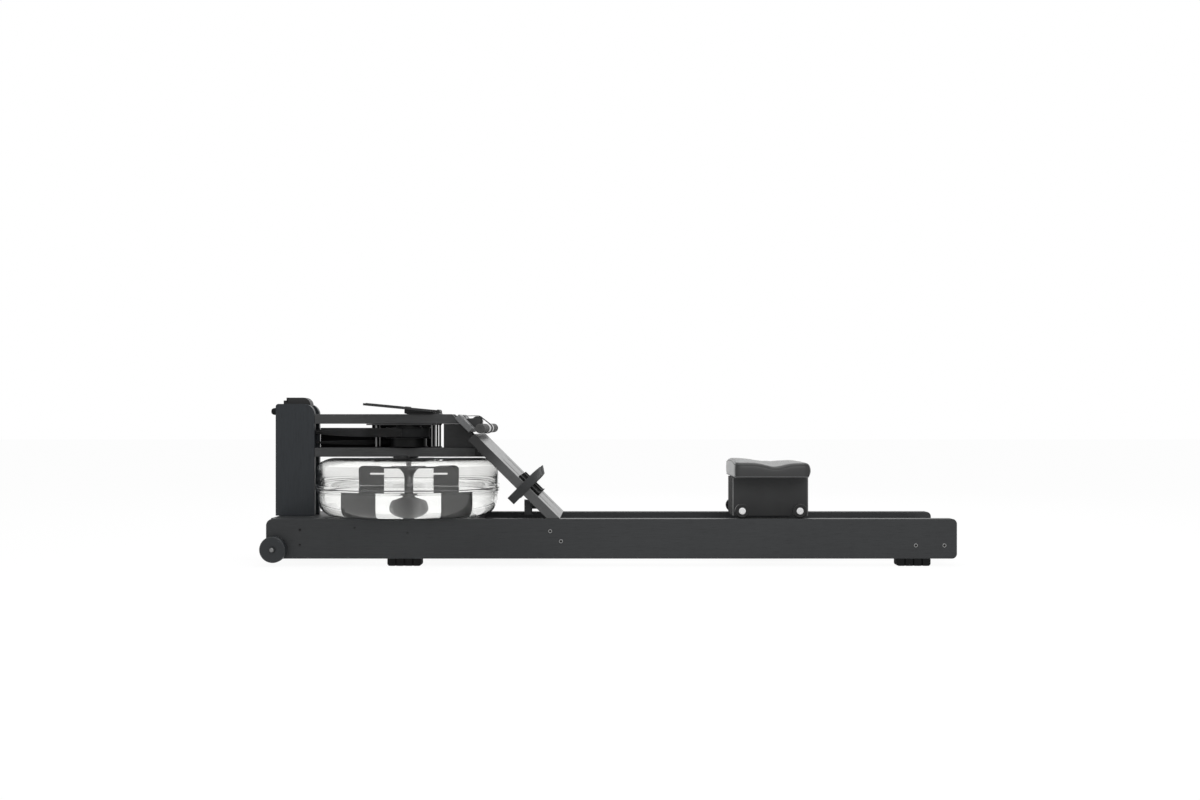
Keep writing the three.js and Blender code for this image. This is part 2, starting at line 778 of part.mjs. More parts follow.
// Handle rest plank on the mitred arms, with the roller that leads the strap over it
const roller = { x: restX + (rollerAlong + rollerLift + restThickness * half) * Math.SQRT1_2,
  z: restHeight + (rollerLift + restThickness * half - rollerAlong) * Math.SQRT1_2 };
const rollerRing = rollerRadius + runningGap + strapThickness * half;
function handleRest() {
  const nest = place(restX, 0, restHeight, quarter * half);
  const h = restThickness * half;
  const l = restLength * half;
  const w = restWidth * half;
  const slit = strapWidth * half + cheekThickness;
  const notch = box(-l - overrun, -l + restNotch, -slit, slit, -h - overrun, h + overrun);
  add("handle_rest_board", cut(box(-l, l, -w, w, -h, h), notch), armWood, nest);
  const inner = rollerWidth * half + seam;
  const z0 = h + seam;
  const z1 = h + rollerLift;
  const r = rollerEarRadius;
  const crownShare = 1.35;
  const crown = arc(rollerAlong, z1, r, 0, quarter * crownShare, 9).map((point) => [point.x, point.z]);
  const side = outline([[rollerAlong + r, z0], ...crown, [rollerAlong - rollerEarReach, z0]]);
  const ear = (y0, y1) => sideBoard(side, y0, y1);
  const reach = inner + rollerEar;
  const pin = moved(rod(rollerPin, -reach, reach, "y", 16), rollerAlong, 0, z1);
  add("roller_bracket", join(ear(-reach, -inner), ear(inner, reach), pin), darkSteel, nest);
  const w2 = rollerWidth * half;
  const bore = rollerPin + runningGap;
  const body = turned([[bore, -w2], [rollerRadius, -w2], [rollerRadius, w2], [bore, w2]], 24);
  body.rotateX(-quarter);
  add("guide_roller", moved(body, rollerAlong, 0, z1), blackPlastic, nest);
}

// Strap: from the drum round the pulley and over the roller, then round the handle
const handleX = restX + handleReach;
const sleeveRing = handleRadius + seam + strapThickness * half;
function straps() {
  const wound = runningGap + strapThickness * half;
  const leave = vector(pulleyX, strapLead, strapPulleyHeight - strapRing);
  const top = overTangent(pulleyX, strapPulleyHeight, strapRing, roller.x, roller.z, rollerRing);
  const wrap = arc(pulleyX, strapPulleyHeight, strapRing, 3 * quarter, top, 12).slice(1);
  wrap.forEach((point) => point.setY(strapLead));
  const runEnd = arc(roller.x, roller.z, rollerRing, top, top, 1)[0];
  const run = [...twistedRun(leave, woundRadius + wound, strapLine, -1), ...wrap, runEnd];
  add("strap_run", ribbon(run, untwist(run.length), strapWidth, strapThickness), webbing);
  const down = overTangent(roller.x, roller.z, rollerRing, handleX, handleHeight, sleeveRing);
  const nose = arc(roller.x, roller.z, rollerRing, top - seam / rollerRing, down, 4);
  const loop = arc(handleX, handleHeight, sleeveRing, down, down - 3 * quarter, 14);
  add("strap_pull", ribbon([...nose, ...loop], flat, strapWidth, strapThickness), webbing);
  const rise = vector(pulleyX, 0, recoilLine);
  const front1 = arc(pulleyX, recoilPulleyHeight, recoilRing, quarter, 2 * quarter, 8).slice(1);
  const front2 = arc(pulleyX, lowPulleyHeight, recoilRing, 2 * quarter, 3 * quarter, 8);
  const anchor = vector(tankCrossX - seam, 0, lowPulleyHeight - recoilRing);
  const recoil = [...twistedRun(rise, recoilWound + wound, recoilLine, 1), ...front1, ...front2, anchor];
  add("recoil_strap", ribbon(recoil, untwist(recoil.length), recoilWidth, strapThickness), webbing);
}

// Handle: a bar with a thicker light middle, and two closed grips
function handle() {
  const bar = handleLength * half;
  const middle = handleSleeve * half;
  const c = cheekThickness;
  const at = (geometry) => moved(geometry, handleX, 0, handleHeight);
  const core = turned([[0, -bar + c + seam], [handleCore, -bar + c + seam], [handleCore, -middle],
    [handleRadius, -middle], [handleRadius, middle], [handleCore, middle], [handleCore, bar - c - seam],
    [0, bar - c - seam]], 28);
  core.rotateX(-quarter);
  add("handle_bar", at(core), white);
  const bore = handleCore + seam;
  for (const [side, sign] of sides) {
    const grip = turned([[0, -bar], [handleRadius - c, -bar], [handleRadius, -bar + c],
      [handleRadius, -middle - seam], [bore, -middle - seam], [bore, -bar + c], [0, -bar + c]], 28);
    grip.rotateX(-quarter);
    if (sign > 0) grip.rotateZ(2 * quarter);
    add(`handle_grip_${side}`, at(grip), rubber);
  }
}

// Slanted foot board on the rails, its bracket on the lower arms, heel rests and foot straps
function footBoard() {
  const nest = place(boardX, 0, boardZ, slope);
  const t = footBoardThickness;
  const w = footBoardWidth * half;
  const shape = outline([[0, 0], [0, -t], [footBoardLength - t / Math.tan(slope), -t], [footBoardLength, 0]]);
  const cuts = [];
  for (const [, sign] of sides) {
    const [s0, s1] = onSide(sign, heelOffset - footBoardSlot * half, heelOffset + footBoardSlot * half);
    const slotEnd = footBoardSlotAlong + footBoardSlotLength;
    cuts.push(box(footBoardSlotAlong, slotEnd, s0, s1, -t - overrun, overrun));
    const slotHalf = footStrapSlot * half;
    const [f0, f1] = onSide(sign, footStrapInner - slotHalf, footStrapInner + slotHalf);
    const reach = footStrapWidth * half + footStrapThickness;
    cuts.push(box(footStrapAlong - reach, footStrapAlong + reach, f0, f1, -t - overrun, overrun));
  }
  add("foot_board", cut(sideBoard(shape, -w, w), ...cuts), armWood, nest);
  for (const [side, sign] of sides) {
    const end = heelAlong + heelLength;
    const [y0, y1] = onSide(sign, heelOffset - heelWidth * half, heelOffset + heelWidth * half);
    const plate = box(heelAlong, end, y0, y1, seam, seam + heelThickness);
    const lip = box(end - heelThickness, end, y0, y1, seam, heelLip);
    const under = -t - seam;
    const bolt = rod(heelBoltRadius, under - heelBoltHeight, heelThickness, "z", 16);
    const head = rod(heelBoltHead, under - heelBoltHeight, under, "z", 16);
    const middle = heelAlong + heelLength * half;
    const stud = moved(join(bolt, head), middle, sign * heelOffset, 0);
    add(`heel_rest_${side}`, join(plate, lip, stud), blackPlastic, nest);
    footStrap(`foot_strap_${side}`, sign, nest);
  }
  const drop = t + seam;
  const underAlong = (z) => (boardZ - drop * Math.cos(slope) - z) / Math.sin(slope);
  const underX = (z) => boardX + underAlong(z) * Math.cos(slope) - drop * Math.sin(slope);
  const x0 = lowerArmEnd + seam;
  const topZ = lowerArmBottom + (underX(lowerArmBottom) - x0) * Math.tan(slope);
  const wedge = outline([[x0, lowerArmBottom], [underX(lowerArmBottom), lowerArmBottom], [x0, topZ]]);
  add("foot_board_bracket", sideBoard(wedge, -boardOuter, boardOuter), blackPlastic);
}

// A strap through the board, over the foot, round the board's edge and back under it
function footStrap(name, sign, nest) {
  const t = footBoardThickness;
  const edge = footBoardWidth * half + footStrapThickness;
  const under = -t - heelBoltHeight - footStrapThickness;
  const inner = footStrapInner;
  const rise = footStrapRise;
  const drop = -t - footStrapDrop;
  const span = edge - inner;
  const pathShares = [[0.02, 0.55], [0.28, 0.97], [0.6, 0.95], [0.87, 0.58]];
  const turns = pathShares.map(([across, up]) => [inner + span * across, rise * up]);
  const points = [[inner, under], [inner, -t * half], [inner, 0], ...turns, [edge, 0], [edge, -t],
    [edge - footStrapThickness, drop + footStrapSlot], [edge - footStrapSlot, drop],
    [edge - 2 * footStrapSlot, drop + footStrapSlot], [edge - 5 * footStrapSlot, under],
    [edge - 8 * footStrapSlot, under], [inner + 2 * footStrapSlot, under]];
  const path = points.map(([y, z]) => vector(footStrapAlong, sign * y, z));
  const curve = new THREE.CatmullRomCurve3(path, true);
  const places = curve.getPoints(40).slice(0, -1);
  add(name, ribbon(places, () => vector(1, 0, 0), footStrapWidth, footStrapThickness, true), webbing, nest);
}

// Monitor plate on a wedge bracket, hinged at its rear end, with push buttons
function monitor() {
  const base = upperArmTop + seam;
  const pinZ = base + bracketBase + monitorKnuckle + runningGap;
  const pinX = restX - monitorLead;
  const tilt = THREE.MathUtils.degToRad(monitorTilt);
  const nest = place(pinX, 0, pinZ, tilt);
  const h = monitorThickness * half;
  const w = monitorWidth * half;
  const tongue = monitorTongue * half;
  const start = monitorKnuckle + overrun + cheekThickness;
  const plate = rounded(-monitorLength, -start, -w, w, monitorKnuckle);
  const body = join(flatBoard(plate, -h, h, 4),
    box(-start - overrun, 0, -tongue, tongue, -h, h), rod(monitorKnuckle, -tongue, tongue, "y", 20));
  const buttons = [];
  const floor = -h + buttonFloor;
  const low = floor + seam + buttonTravel;
  for (let i = 0; i < buttonCount; i += 1) {
    buttons.push((i - (buttonCount - 1) * half) * buttonPitch);
  }
  const buttonX = -monitorLength + buttonInset;
  const well = buttonRadius + seam;
  const wells = buttons.map((y) => moved(rod(well, floor, h + overrun, "z", 20), buttonX, y, 0));
  const bore = rod(monitorPin + seam, -tongue - overrun, tongue + overrun, "y", 16);
  add("monitor_case", cut(body, ...wells, bore), blackPlastic, nest);
  buttons.forEach((y, i) => {
    add(`monitor_button_${i + 1}`, moved(rod(buttonRadius, low, h + buttonHeight, "z", 20), buttonX, y, 0),
      greyPlastic, nest);
  });
  const inner = tongue + seam;
  const reach = inner + monitorEar;
  const ear = (y0, y1) => join(box(pinX - monitorEar, pinX + monitorEar, y0, y1, base, pinZ),
    moved(rod(monitorEar, y0, y1, "y", 20), pinX, 0, pinZ));
  const underZ = (x) => pinZ - (x - pinX) * Math.tan(tilt) - (h + seam) / Math.cos(tilt);
  const x0 = pinX - bracketLength;
  const x1 = pinX - wedgeInset;
  const wedge = outline([[x0, base], [x1, base], [x1, underZ(x1)], [x0, underZ(x0)]]);
  const pin = moved(rod(monitorPin, -reach, reach, "y", 16), pinX, 0, pinZ);
  const b = bracketWidth * half;
  const bracket = join(box(x0, pinX + monitorEar, -b, b, base, base + bracketBase),
    sideBoard(wedge, -wedgeWidth * half, wedgeWidth * half), ear(-reach, -inner), ear(inner, reach), pin);
  add("monitor_bracket", bracket, blackPlastic);
}

// Seat cushion: a plan with rounded corners, drawn-in edges, and a dip across it that is deepest at the sides
function cushion() {
  const a = seatLength * half;
  const b = seatWidth * half;
  const around = 64;
  const power = 10;
  const planPoint = (angle, inset) => {
    const across = Math.abs(Math.cos(angle) / (a - inset));
    const along = Math.abs(Math.sin(angle) / (b - inset));
    const reach = Math.pow(Math.pow(across, power) + Math.pow(along, power), -1 / power);
    return [reach * Math.cos(angle), reach * Math.sin(angle)];
  };
  const topZ = (x, y) => {
    const u = x / a;
    const v = y / b;
    const crown = seatCrown * (1 - v * v) * (1 - u) * half;
    const dipWidthShare = 0.32;
    const along = (x - seatDipSetback) / (a * dipWidthShare);
    const dip = seatDip * (1 + v * v) * half * Math.exp(-along * along);
    return seatBottom + seatEdge + crown - dip;
  };
  const positions = [0, 0, seatBottom];
  const layers = [];
  const addRing = (inset, share, height) => {
    layers.push(positions.length / 3);
    for (let i = 0; i < around; i += 1) {
      const [x, y] = planPoint((turn * i) / around, inset);
      positions.push(x * share, y * share, height === null ? topZ(x * share, y * share) : height(x, y));
    }
  };
  addRing(seatPull, 1, () => seatBottom);
  addRing(0, 1, () => seatBottom + seatPull * 2);
  addRing(0, 1, (x, y) => topZ(x, y) - seatPull * 3);
  addRing(seatPull, 1, (x, y) => topZ(x, y) - seatPull * half);
  addRing(seatPull * 3, 1, null);
  const ringShares = [0.8, 0.6, 0.4, 0.2];
  for (const share of ringShares) addRing(0, share, null);
  const top = positions.length / 3;
  positions.push(0, 0, topZ(0, 0));
  const faces = [];
  for (let i = 0; i < around; i += 1) {
    const j = (i + 1) % around;
    faces.push(0, layers[0] + j, layers[0] + i);
    for (let k = 0; k < layers.length - 1; k += 1) {
      const low = layers[k];
      const high = layers[k + 1];
      faces.push(low + i, low + j, high + j, low + i, high + j, high + i);
    }
    const last = layers[layers.length - 1];
    faces.push(last + i, last + j, top);
  }
  const geometry = new THREE.BufferGeometry();
  geometry.setAttribute("position", new THREE.Float32BufferAttribute(positions, 3));
  geometry.setIndex(faces);
  return geometry;
}

// Seat on a box carriage that rolls on the rails by four wheels
function seat() {
  const x0 = front + seatInset;
  const seatX = x0 + seatLength * half;
  add("seat_cushion", moved(cushion(), seatX, 0, 0), leather);
  const boardTop = seatBottom - seam;
  const boardBottom = boardTop - seatBoardThickness;
  const c0 = x0 + carriageSetback;
  const c1 = c0 + carriageLength;
  const low = railTop + carriageClearance;
  const outer = carriageWidth * half;
  const inner = outer - carriageWall;
  const axleZ = railTop + seam + seatWheelRadius;
  const axles = [["front", c0 + seatWheelInset], ["rear", c0 + seatWheelInset + seatWheelBase]];
  const middle = seatWheelTrack * half;
  const face = middle + seatWheelWidth * half;
  const rods = axles.map(([, x]) => moved(rod(seatAxleRadius, -face, face, "y", 16), x, 0, axleZ));
  const shell = cut(box(c0, c1, -outer, outer, low, boardTop),
    box(c0 + carriageWall, c1 - carriageWall, -inner, inner, low - overrun, boardBottom));
  add("seat_carriage", join(shell, ...rods), darkSteel);
  const h = seatWheelWidth * half;
  const bore = seatAxleRadius + runningGap;
  const edge = seatWheelRadius - cheekThickness;
  for (const [end, x] of axles) {
    for (const [side, sign] of sides) {
      const wheel = turned([[bore, -h], [edge, -h], [seatWheelRadius, -h + cheekThickness],
        [seatWheelRadius, h - cheekThickness], [edge, h], [bore, h]], 28);
      wheel.rotateX(-quarter);
      add(`seat_wheel_${end}_${side}`, moved(wheel, x, middle * sign, axleZ), blackPlastic);
    }
  }
}

rails();
crossBoards();
feet();
transportWheels();
column();
pulleyCover();
pulleys();
arms();
guards();
tank();
paddle();
drum();
handleRest();
straps();
handle();
footBoard();
monitor();
seat();

export default group;
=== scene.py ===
import json
import math

import bmesh
import bpy
from mathutils import Matrix, Vector
from mathutils.bvhtree import BVHTree


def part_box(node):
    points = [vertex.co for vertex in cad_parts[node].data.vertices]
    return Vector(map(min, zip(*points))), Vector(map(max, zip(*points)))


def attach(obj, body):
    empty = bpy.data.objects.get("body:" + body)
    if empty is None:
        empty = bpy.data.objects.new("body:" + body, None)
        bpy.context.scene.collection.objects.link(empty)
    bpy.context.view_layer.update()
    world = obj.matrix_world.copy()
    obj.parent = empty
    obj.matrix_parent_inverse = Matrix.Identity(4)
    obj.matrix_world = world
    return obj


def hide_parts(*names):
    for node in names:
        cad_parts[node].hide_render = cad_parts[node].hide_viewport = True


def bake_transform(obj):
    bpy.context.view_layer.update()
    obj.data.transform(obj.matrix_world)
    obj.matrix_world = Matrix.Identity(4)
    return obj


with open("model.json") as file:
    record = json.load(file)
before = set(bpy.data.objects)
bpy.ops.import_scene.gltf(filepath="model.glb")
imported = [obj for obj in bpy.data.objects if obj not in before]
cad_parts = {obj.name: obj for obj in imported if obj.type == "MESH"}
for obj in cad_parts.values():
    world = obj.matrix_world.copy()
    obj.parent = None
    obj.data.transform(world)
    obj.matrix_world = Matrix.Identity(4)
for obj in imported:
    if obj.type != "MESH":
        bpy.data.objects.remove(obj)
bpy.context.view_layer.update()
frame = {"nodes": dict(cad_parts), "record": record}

# Camera: straight across the machine from its near side, four metres off and at the handle's height.
# The small shift puts the level line a little under the middle of the picture, as in the photograph.
scene = bpy.context.scene
scene.view_settings.view_transform = "Standard"
picture_width = 1200
lens = bpy.data.cameras.new("camera")
lens.sensor_width = 36
lens.lens = 38.78
lens.shift_x = -5 / picture_width
lens.shift_y = 23 / picture_width
camera = bpy.data.objects.new("camera", lens)
camera.location = (-0.0121, -4.075, 0.4314)
camera.rotation_euler = (math.pi / 2, 0, 0)
scene.collection.objects.link(camera)
scene.camera = camera


class Socket:
    """One output of a material's node, on which sums and products add Math nodes."""

    def __init__(self, finish, link):
        self.finish = finish
        self.link = link

    def math(self, operation, *values):
        return self.finish.node("Math", {"operation": operation}, dict(enumerate(values)))

    def __add__(self, other):
        return self.math("ADD", self, other)

    def __sub__(self, other):
        return self.math("SUBTRACT", self, other)

    def __mul__(self, other):
        return self.math("MULTIPLY", self, other)

    def __rsub__(self, other):
        return self.math("SUBTRACT", other, self)

    __radd__ = __add__
    __rmul__ = __mul__

    def sine(self):
        return self.math("SINE", self)

    def size(self):
        return self.math("ABSOLUTE", self)

    def above(self, low, high):
        """0 under low, 1 over high, and a smooth way between them."""
        return self.finish.node("MapRange", {"interpolation_type": "SMOOTHSTEP"},
                                {"Value": self, "From Min": low, "From Max": high})


class Finish:
    """One material: a main shader, with its plain values, and the nodes that vary it."""

    def __init__(self, name, **values):
        self.material = bpy.data.materials.new(name)
        self.material.use_nodes = True
        self.tree = self.material.node_tree
        self.shader = self.tree.nodes["Principled BSDF"]
        for key, value in values.items():
            self.shader.inputs[key.replace("_", " ")].default_value = value

    def node(self, kind, settings=None, inputs=None, output=0):
        made = self.tree.nodes.new("ShaderNode" + kind)
        for key, value in (settings or {}).items():
            setattr(made, key, value)
        for key, value in (inputs or {}).items():
            if isinstance(value, Socket):
                self.tree.links.new(value.link, made.inputs[key])
            else:
                made.inputs[key].default_value = value
        return Socket(self, made.outputs[output])

    def feed(self, key, socket):
        self.tree.links.new(socket.link, self.shader.inputs[key])

    def mix(self, factor, low, high):
        return self.node("Mix", {"data_type": "RGBA"}, {0: factor, 6: low, 7: high}, output=2)

    def noise(self, place, size, detail=4, roughness=0.5, distortion=0):
        """Clouds of about this size in metres, around a half."""
        return self.node("TexNoise", None, {"Vector": place, "Scale": 1 / size, "Detail": detail,
                                            "Roughness": roughness, "Distortion": distortion})

    def place(self, stretch=(1, 1, 1), tilt=0):
        """Where a point is on the machine, turned about Y and then drawn out."""
        at = self.node("TexCoord", output="Object")
        turned = self.node("Mapping", None, {"Vector": at, "Rotation": (0, tilt, 0)})
        return self.node("Mapping", None, {"Vector": turned, "Scale": stretch})

    def bump(self, height, depth, strength=1.0):
        lift = self.node("Bump", None, {"Height": height, "Distance": depth, "Strength": strength})
        self.feed("Normal", lift)


def grey(level, blue=0):
    """The linear colour of a nearly grey tone that a screen shows at this level of 255."""
    def linear(value):
        share = value / 255
        return share / 12.92 if share < 0.04045 else ((share + 0.055) / 1.055) ** 2.4
    return (linear(level - blue), linear(level), linear(level + blue), 1)


# Floor and light: a pale floor that keeps a faint shadow, a white surround, and three large soft lamps.
# The surround is white where the camera, a gloss or a clear wall looks at it, and dimmer as a lamp.
def seen(finish):
    path = finish.node("LightPath", output="Is Camera Ray")
    for ray in ("Is Glossy Ray", "Is Transmission Ray"):
        path = path + Socket(finish, path.link.node.id_data.nodes["Light Path"].outputs[ray])
    return path


class Surround(Finish):
    """The world's own nodes."""

    def __init__(self, world):
        world.use_nodes = True
        self.tree = world.node_tree
        self.shader = self.tree.nodes["Background"]


ambient = 0.62
world = bpy.data.worlds.new("studio")
scene.world = world
surround = Surround(world)
surround.shader.inputs["Color"].default_value = (1, 1, 1, 1)
surround.feed("Strength", seen(surround) * (1 - ambient) + ambient)

floor_mesh = bpy.data.meshes.new("floor")
plane = bmesh.new()
bmesh.ops.create_grid(plane, x_segments=1, y_segments=1, size=30)
plane.to_mesh(floor_mesh)
floor = bpy.data.objects.new("floor", floor_mesh)
scene.collection.objects.link(floor)
pale = Finish("pale_floor", Base_Color=grey(238), Roughness=0.9)
pale.shader.inputs["Specular IOR Level"].default_value = 0
white_glow = pale.node("Emission", None, {"Strength": 1.03})
laid = pale.node("MixShader", None, {0: seen(pale) * 0.9, 1: Socket(pale, pale.shader.outputs[0]),
                                     2: white_glow})
pale.tree.links.new(laid.link, pale.tree.nodes["Material Output"].inputs["Surface"])
floor_mesh.materials.append(pale.material)

lamps = {"over": ((0.1, -0.5, 2.9), (2.6, 1.6), 34), "fill": ((0.9, -3.6, 1.9), (2.2, 1.6), 26),
         "back": ((0.6, 3.0, 2.2), (2.6, 1.2), 18)}
for name, (at, (wide, deep), watts) in lamps.items():
    light = bpy.data.lights.new(name, "AREA")
    light.shape = "RECTANGLE"
    light.size, light.size_y, light.energy = wide, deep, watts
    lamp = bpy.data.objects.new(name, light)
    lamp.location = at
    lamp.rotation_euler = (Vector((0, 0, 0.2)) - Vector(at)).to_track_quat("-Z", "Y").to_euler()
    scene.collection.objects.link(lamp)


# Rails and cross boards: black stained ash with a satin lacquer, its long edges eased over by hand.
# The stain is cloudy and a little streaked along the grain, which shows as fine dark pores.
def stained(name, level, along="x", tilt=0, blue=1.5, roughness=0.46):
    wood = Finish(name, Roughness=roughness)
    wood.shader.inputs["Specular IOR Level"].default_value = 0.32
    across, lengthways = 1 / 0.004, 1 / 0.12
    stretch = {"x": (lengthways, across, across), "z": (across, across, lengthways)}[along]
    grain = wood.noise(wood.place(stretch, tilt), 1, 5, 0.62, 0.5)
    pores = wood.noise(wood.place([s * 3.2 for s in stretch], tilt), 1, 2, 0.5).above(0.56, 0.7)
    cloud = wood.noise(wood.place(), 0.3, 2)
    tone = grain * 0.7 + cloud * 0.5 - 0.1
    stain = wood.mix(tone, grey(level - 12, blue), grey(level + 9, blue))
    wood.feed("Base Color", wood.mix(pores * 0.45, stain, grey(level - 26, 0)))
    wood.feed("Roughness", grain * 0.16 + cloud * 0.1 + (roughness - 0.12) + pores * 0.1)
    wood.bump(grain * 0.5 - pores, 0.00012, 0.6)
    return wood


body_of = {node: body for body, nodes in frame["record"]["behaviour"]["bodies"].items() for node in nodes}


def keep(name, bm, finish, body, smooth=35, weighted=True):
    """Turns a mesh that is in place into a named piece that rides on a body."""
    mesh = bpy.data.meshes.new(name)
    bm.to_mesh(mesh)
    bm.free()
    mesh.shade_smooth()
    mesh.set_sharp_from_angle(angle=math.radians(smooth))
    mesh.materials.append(finish.material)
    piece = bpy.data.objects.new(name, mesh)
    scene.collection.objects.link(piece)
    if weighted:
        piece.modifiers.new("flat_faces", "WEIGHTED_NORMAL").keep_sharp = True
    if body:
        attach(piece, body)
    return piece


def solid_of(node):
    """A copy of a CAD node with its loose triangles merged into whole faces."""
    bm = bmesh.new()
    bm.from_mesh(frame["nodes"][node].data)
    bmesh.ops.remove_doubles(bm, verts=bm.verts, dist=2e-6)
    bmesh.ops.dissolve_limit(bm, angle_limit=math.radians(0.5), verts=bm.verts, edges=bm.edges)
    return bm


def ease(bm, width, segments=3, corner=28):
    """Rounds over every edge that turns by more than this many degrees."""
    hard = [edge for edge in bm.edges
            if edge.is_manifold and edge.calc_face_angle(0) > math.radians(corner)]
    bmesh.ops.bevel(bm, geom=hard, offset=width, segments=segments, profile=0.5, affect="EDGES",
                    offset_type="OFFSET", clamp_overlap=True, material=-1)


def fitted(node, bm, finish, smooth=35, weighted=True):
    """A mesh kept in place of a CAD node, on the node's own body."""
    piece = keep("shown_" + node, bm, finish, body_of[node], smooth, weighted)
    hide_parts(node)
    return piece


def eased(node, width, finish, segments=3):
    """The CAD node's own shape, kept in its place with rounded edges."""
    bm = solid_of(node)
    ease(bm, width, segments)
    return fitted(node, bm, finish)


def added(name, bm, finish, body):
    """A fixing or trim that no CAD node stands for."""
    keep(name, bm, finish, body)


def overlay(finish, mask, colour):
    """Lays a second colour over a finish where the mask is 1."""
    under = Socket(finish, finish.shader.inputs["Base Color"].links[0].from_socket)
    finish.feed("Base Color", finish.mix(mask, under, colour))


def apart(finish):
    """The three coordinates of a point of the machine."""
    at = finish.place()
    return [finish.node("SeparateXYZ", None, {0: at}, output=i) for i in range(3)]


rail_wood = stained("rail_wood", 46)
for side in ("left", "right"):
    eased("rail_" + side, 0.0016, rail_wood)
for node in ("front_cross_board", "tank_cross_board", "rear_cross_board"):
    eased(node, 0.001, rail_wood)


# Feet: moulded rubber blocks with three upright grooves, screwed under the rails.
# The rubber is matt, with the fine grain of its mould.
def moulded(name, level, roughness, grain=0.0006, depth=0.00004, blue=0.5, specular=0.3):
    skin = Finish(name)
    skin.shader.inputs["Specular IOR Level"].default_value = specular
    fine = skin.noise(skin.place(), grain, 3, 0.6)
    cloud = skin.noise(skin.place(), 0.05, 3)
    skin.feed("Base Color", skin.mix(fine * 0.5 + cloud * 0.5, grey(level - 6, blue), grey(level + 7, blue)))
    skin.feed("Roughness", cloud * 0.12 + (roughness - 0.06))
    skin.bump(fine, depth, 0.7)
    return skin


foot_rubber = moulded("foot_rubber", 17, 0.85, 0.0012, 0.00008, specular=0.2)
for end in ("front", "rear"):
    for side in ("left", "right"):
        eased(f"foot_{end}_{side}", 0.0011, foot_rubber, 2)


# Rail screws: black countersunk screws near the column and beside the tank, and plugs in light
# rings, two by the foot board and two at the rear cross board. Both rails carry the same ones.
def turned(profile, axis="z", at=(0, 0, 0), steps=48, closed=True):
    """A solid of revolution from pairs of a radius and a height, stood up along an axis at a place."""
    bm = bmesh.new()
    ring = [bm.verts.new((radius, 0, height)) for radius, height in profile]
    pairs = list(zip(ring, ring[1:] + ring[:1])) if closed else list(zip(ring, ring[1:]))
    lines = [bm.edges.new(pair) for pair in pairs]
    bmesh.ops.spin(bm, geom=ring + lines, cent=(0, 0, 0), axis=(0, 0, 1), angle=2 * math.pi,
                   steps=steps, use_merge=True)
    bmesh.ops.remove_doubles(bm, verts=bm.verts, dist=1e-6)
    bmesh.ops.dissolve_degenerate(bm, edges=bm.edges, dist=1e-6)
    if not closed:
        bmesh.ops.holes_fill(bm, edges=bm.edges, sides=0)
    bmesh.ops.recalc_face_normals(bm, faces=bm.faces)
    turn = {"z": Matrix(), "y": Matrix.Rotation(-math.pi / 2, 4, "X"),
            "x": Matrix.Rotation(math.pi / 2, 4, "Y")}
    bmesh.ops.transform(bm, matrix=Matrix.Translation(at) @ turn[axis], verts=bm.verts)
    return bm


def softened(profile, radius, closed=True):
    """The same profile with each corner cut back and rounded by three points."""
    points = [Vector(p) for p in profile]
    count = len(points)
    made = []
    for i, here in enumerate(points):
        if not closed and i in (0, count - 1):
            made.append(tuple(here))
            continue
        before, after = points[i - 1], points[(i + 1) % count]
        to_before, to_after = before - here, after - here
        if here.x == 0 or to_before.length == 0 or to_after.length == 0:
            made.append(tuple(here))
            continue
        start = here + to_before.normalized() * min(radius, to_before.length * 0.45)
        end = here + to_after.normalized() * min(radius, to_after.length * 0.45)
        made += [tuple(start), tuple((start + end) * 0.25 + here * 0.5), tuple(end)]
    return made


def metal(name, level, roughness, metallic=1.0):
    skin = Finish(name, Metallic=metallic)
    cloud = skin.noise(skin.place(), 0.02, 3)
    scuffs = skin.noise(skin.place((900, 900, 60)), 1, 3)
    skin.feed("Base Color", skin.mix(cloud, grey(level - 8), grey(level + 8)))
    skin.feed("Roughness", cloud * 0.1 + scuffs * 0.12 + (roughness - 0.1))
    skin.bump(scuffs, 0.00002, 0.5)
    return skin


rail_face = 0.175
black_screw = metal("black_screw", 40, 0.45)
ring_metal = metal("ring_metal", 150, 0.4)
screw_places = [(-0.933, 0.109, 0.0040), (-0.933, 0.064, 0.0030),
                (-0.768, 0.115, 0.0028), (-0.608, 0.0999, 0.0028)]
ring_places = [(-0.1775, 0.1050), (-0.1449, 0.0745), (0.9256, 0.0620), (1.0119, 0.0620)]
for side, sign in (("left", -1), ("right", 1)):
    lie = sign * rail_face
    for number, (x, z, radius) in enumerate(screw_places):
        dish = [(0, 0.0002), (radius * 0.45, 0.0002), (radius * 0.5, 0.0012), (radius * 0.86, 0.0013),
                (radius, 0), (radius, -0.0001), (0, -0.0001)]
        bm = turned([(r, h * sign) for r, h in dish], "y", (x, lie, z), 20)
        added(f"rail_screw_{side}_{number + 1}", bm, black_screw, "frame")
    for number, (x, z) in enumerate(ring_places):
        ring = softened([(0.0034, 0), (0.0062, 0), (0.0056, 0.0016), (0.0040, 0.0016)], 0.0005)
        bm = turned([(r, h * sign) for r, h in ring], "y", (x, lie, z), 28)
        added(f"rail_ring_{side}_{number + 1}", bm, ring_metal, "frame")
        plug = [(0, -0.0001), (0.0033, -0.0001), (0.0033, 0.0004), (0.0012, 0.0010), (0, 0.0004)]
        bm = turned([(r, h * sign) for r, h in plug], "y", (x, lie, z), 20)
        added(f"rail_plug_{side}_{number + 1}", bm, black_screw, "frame")


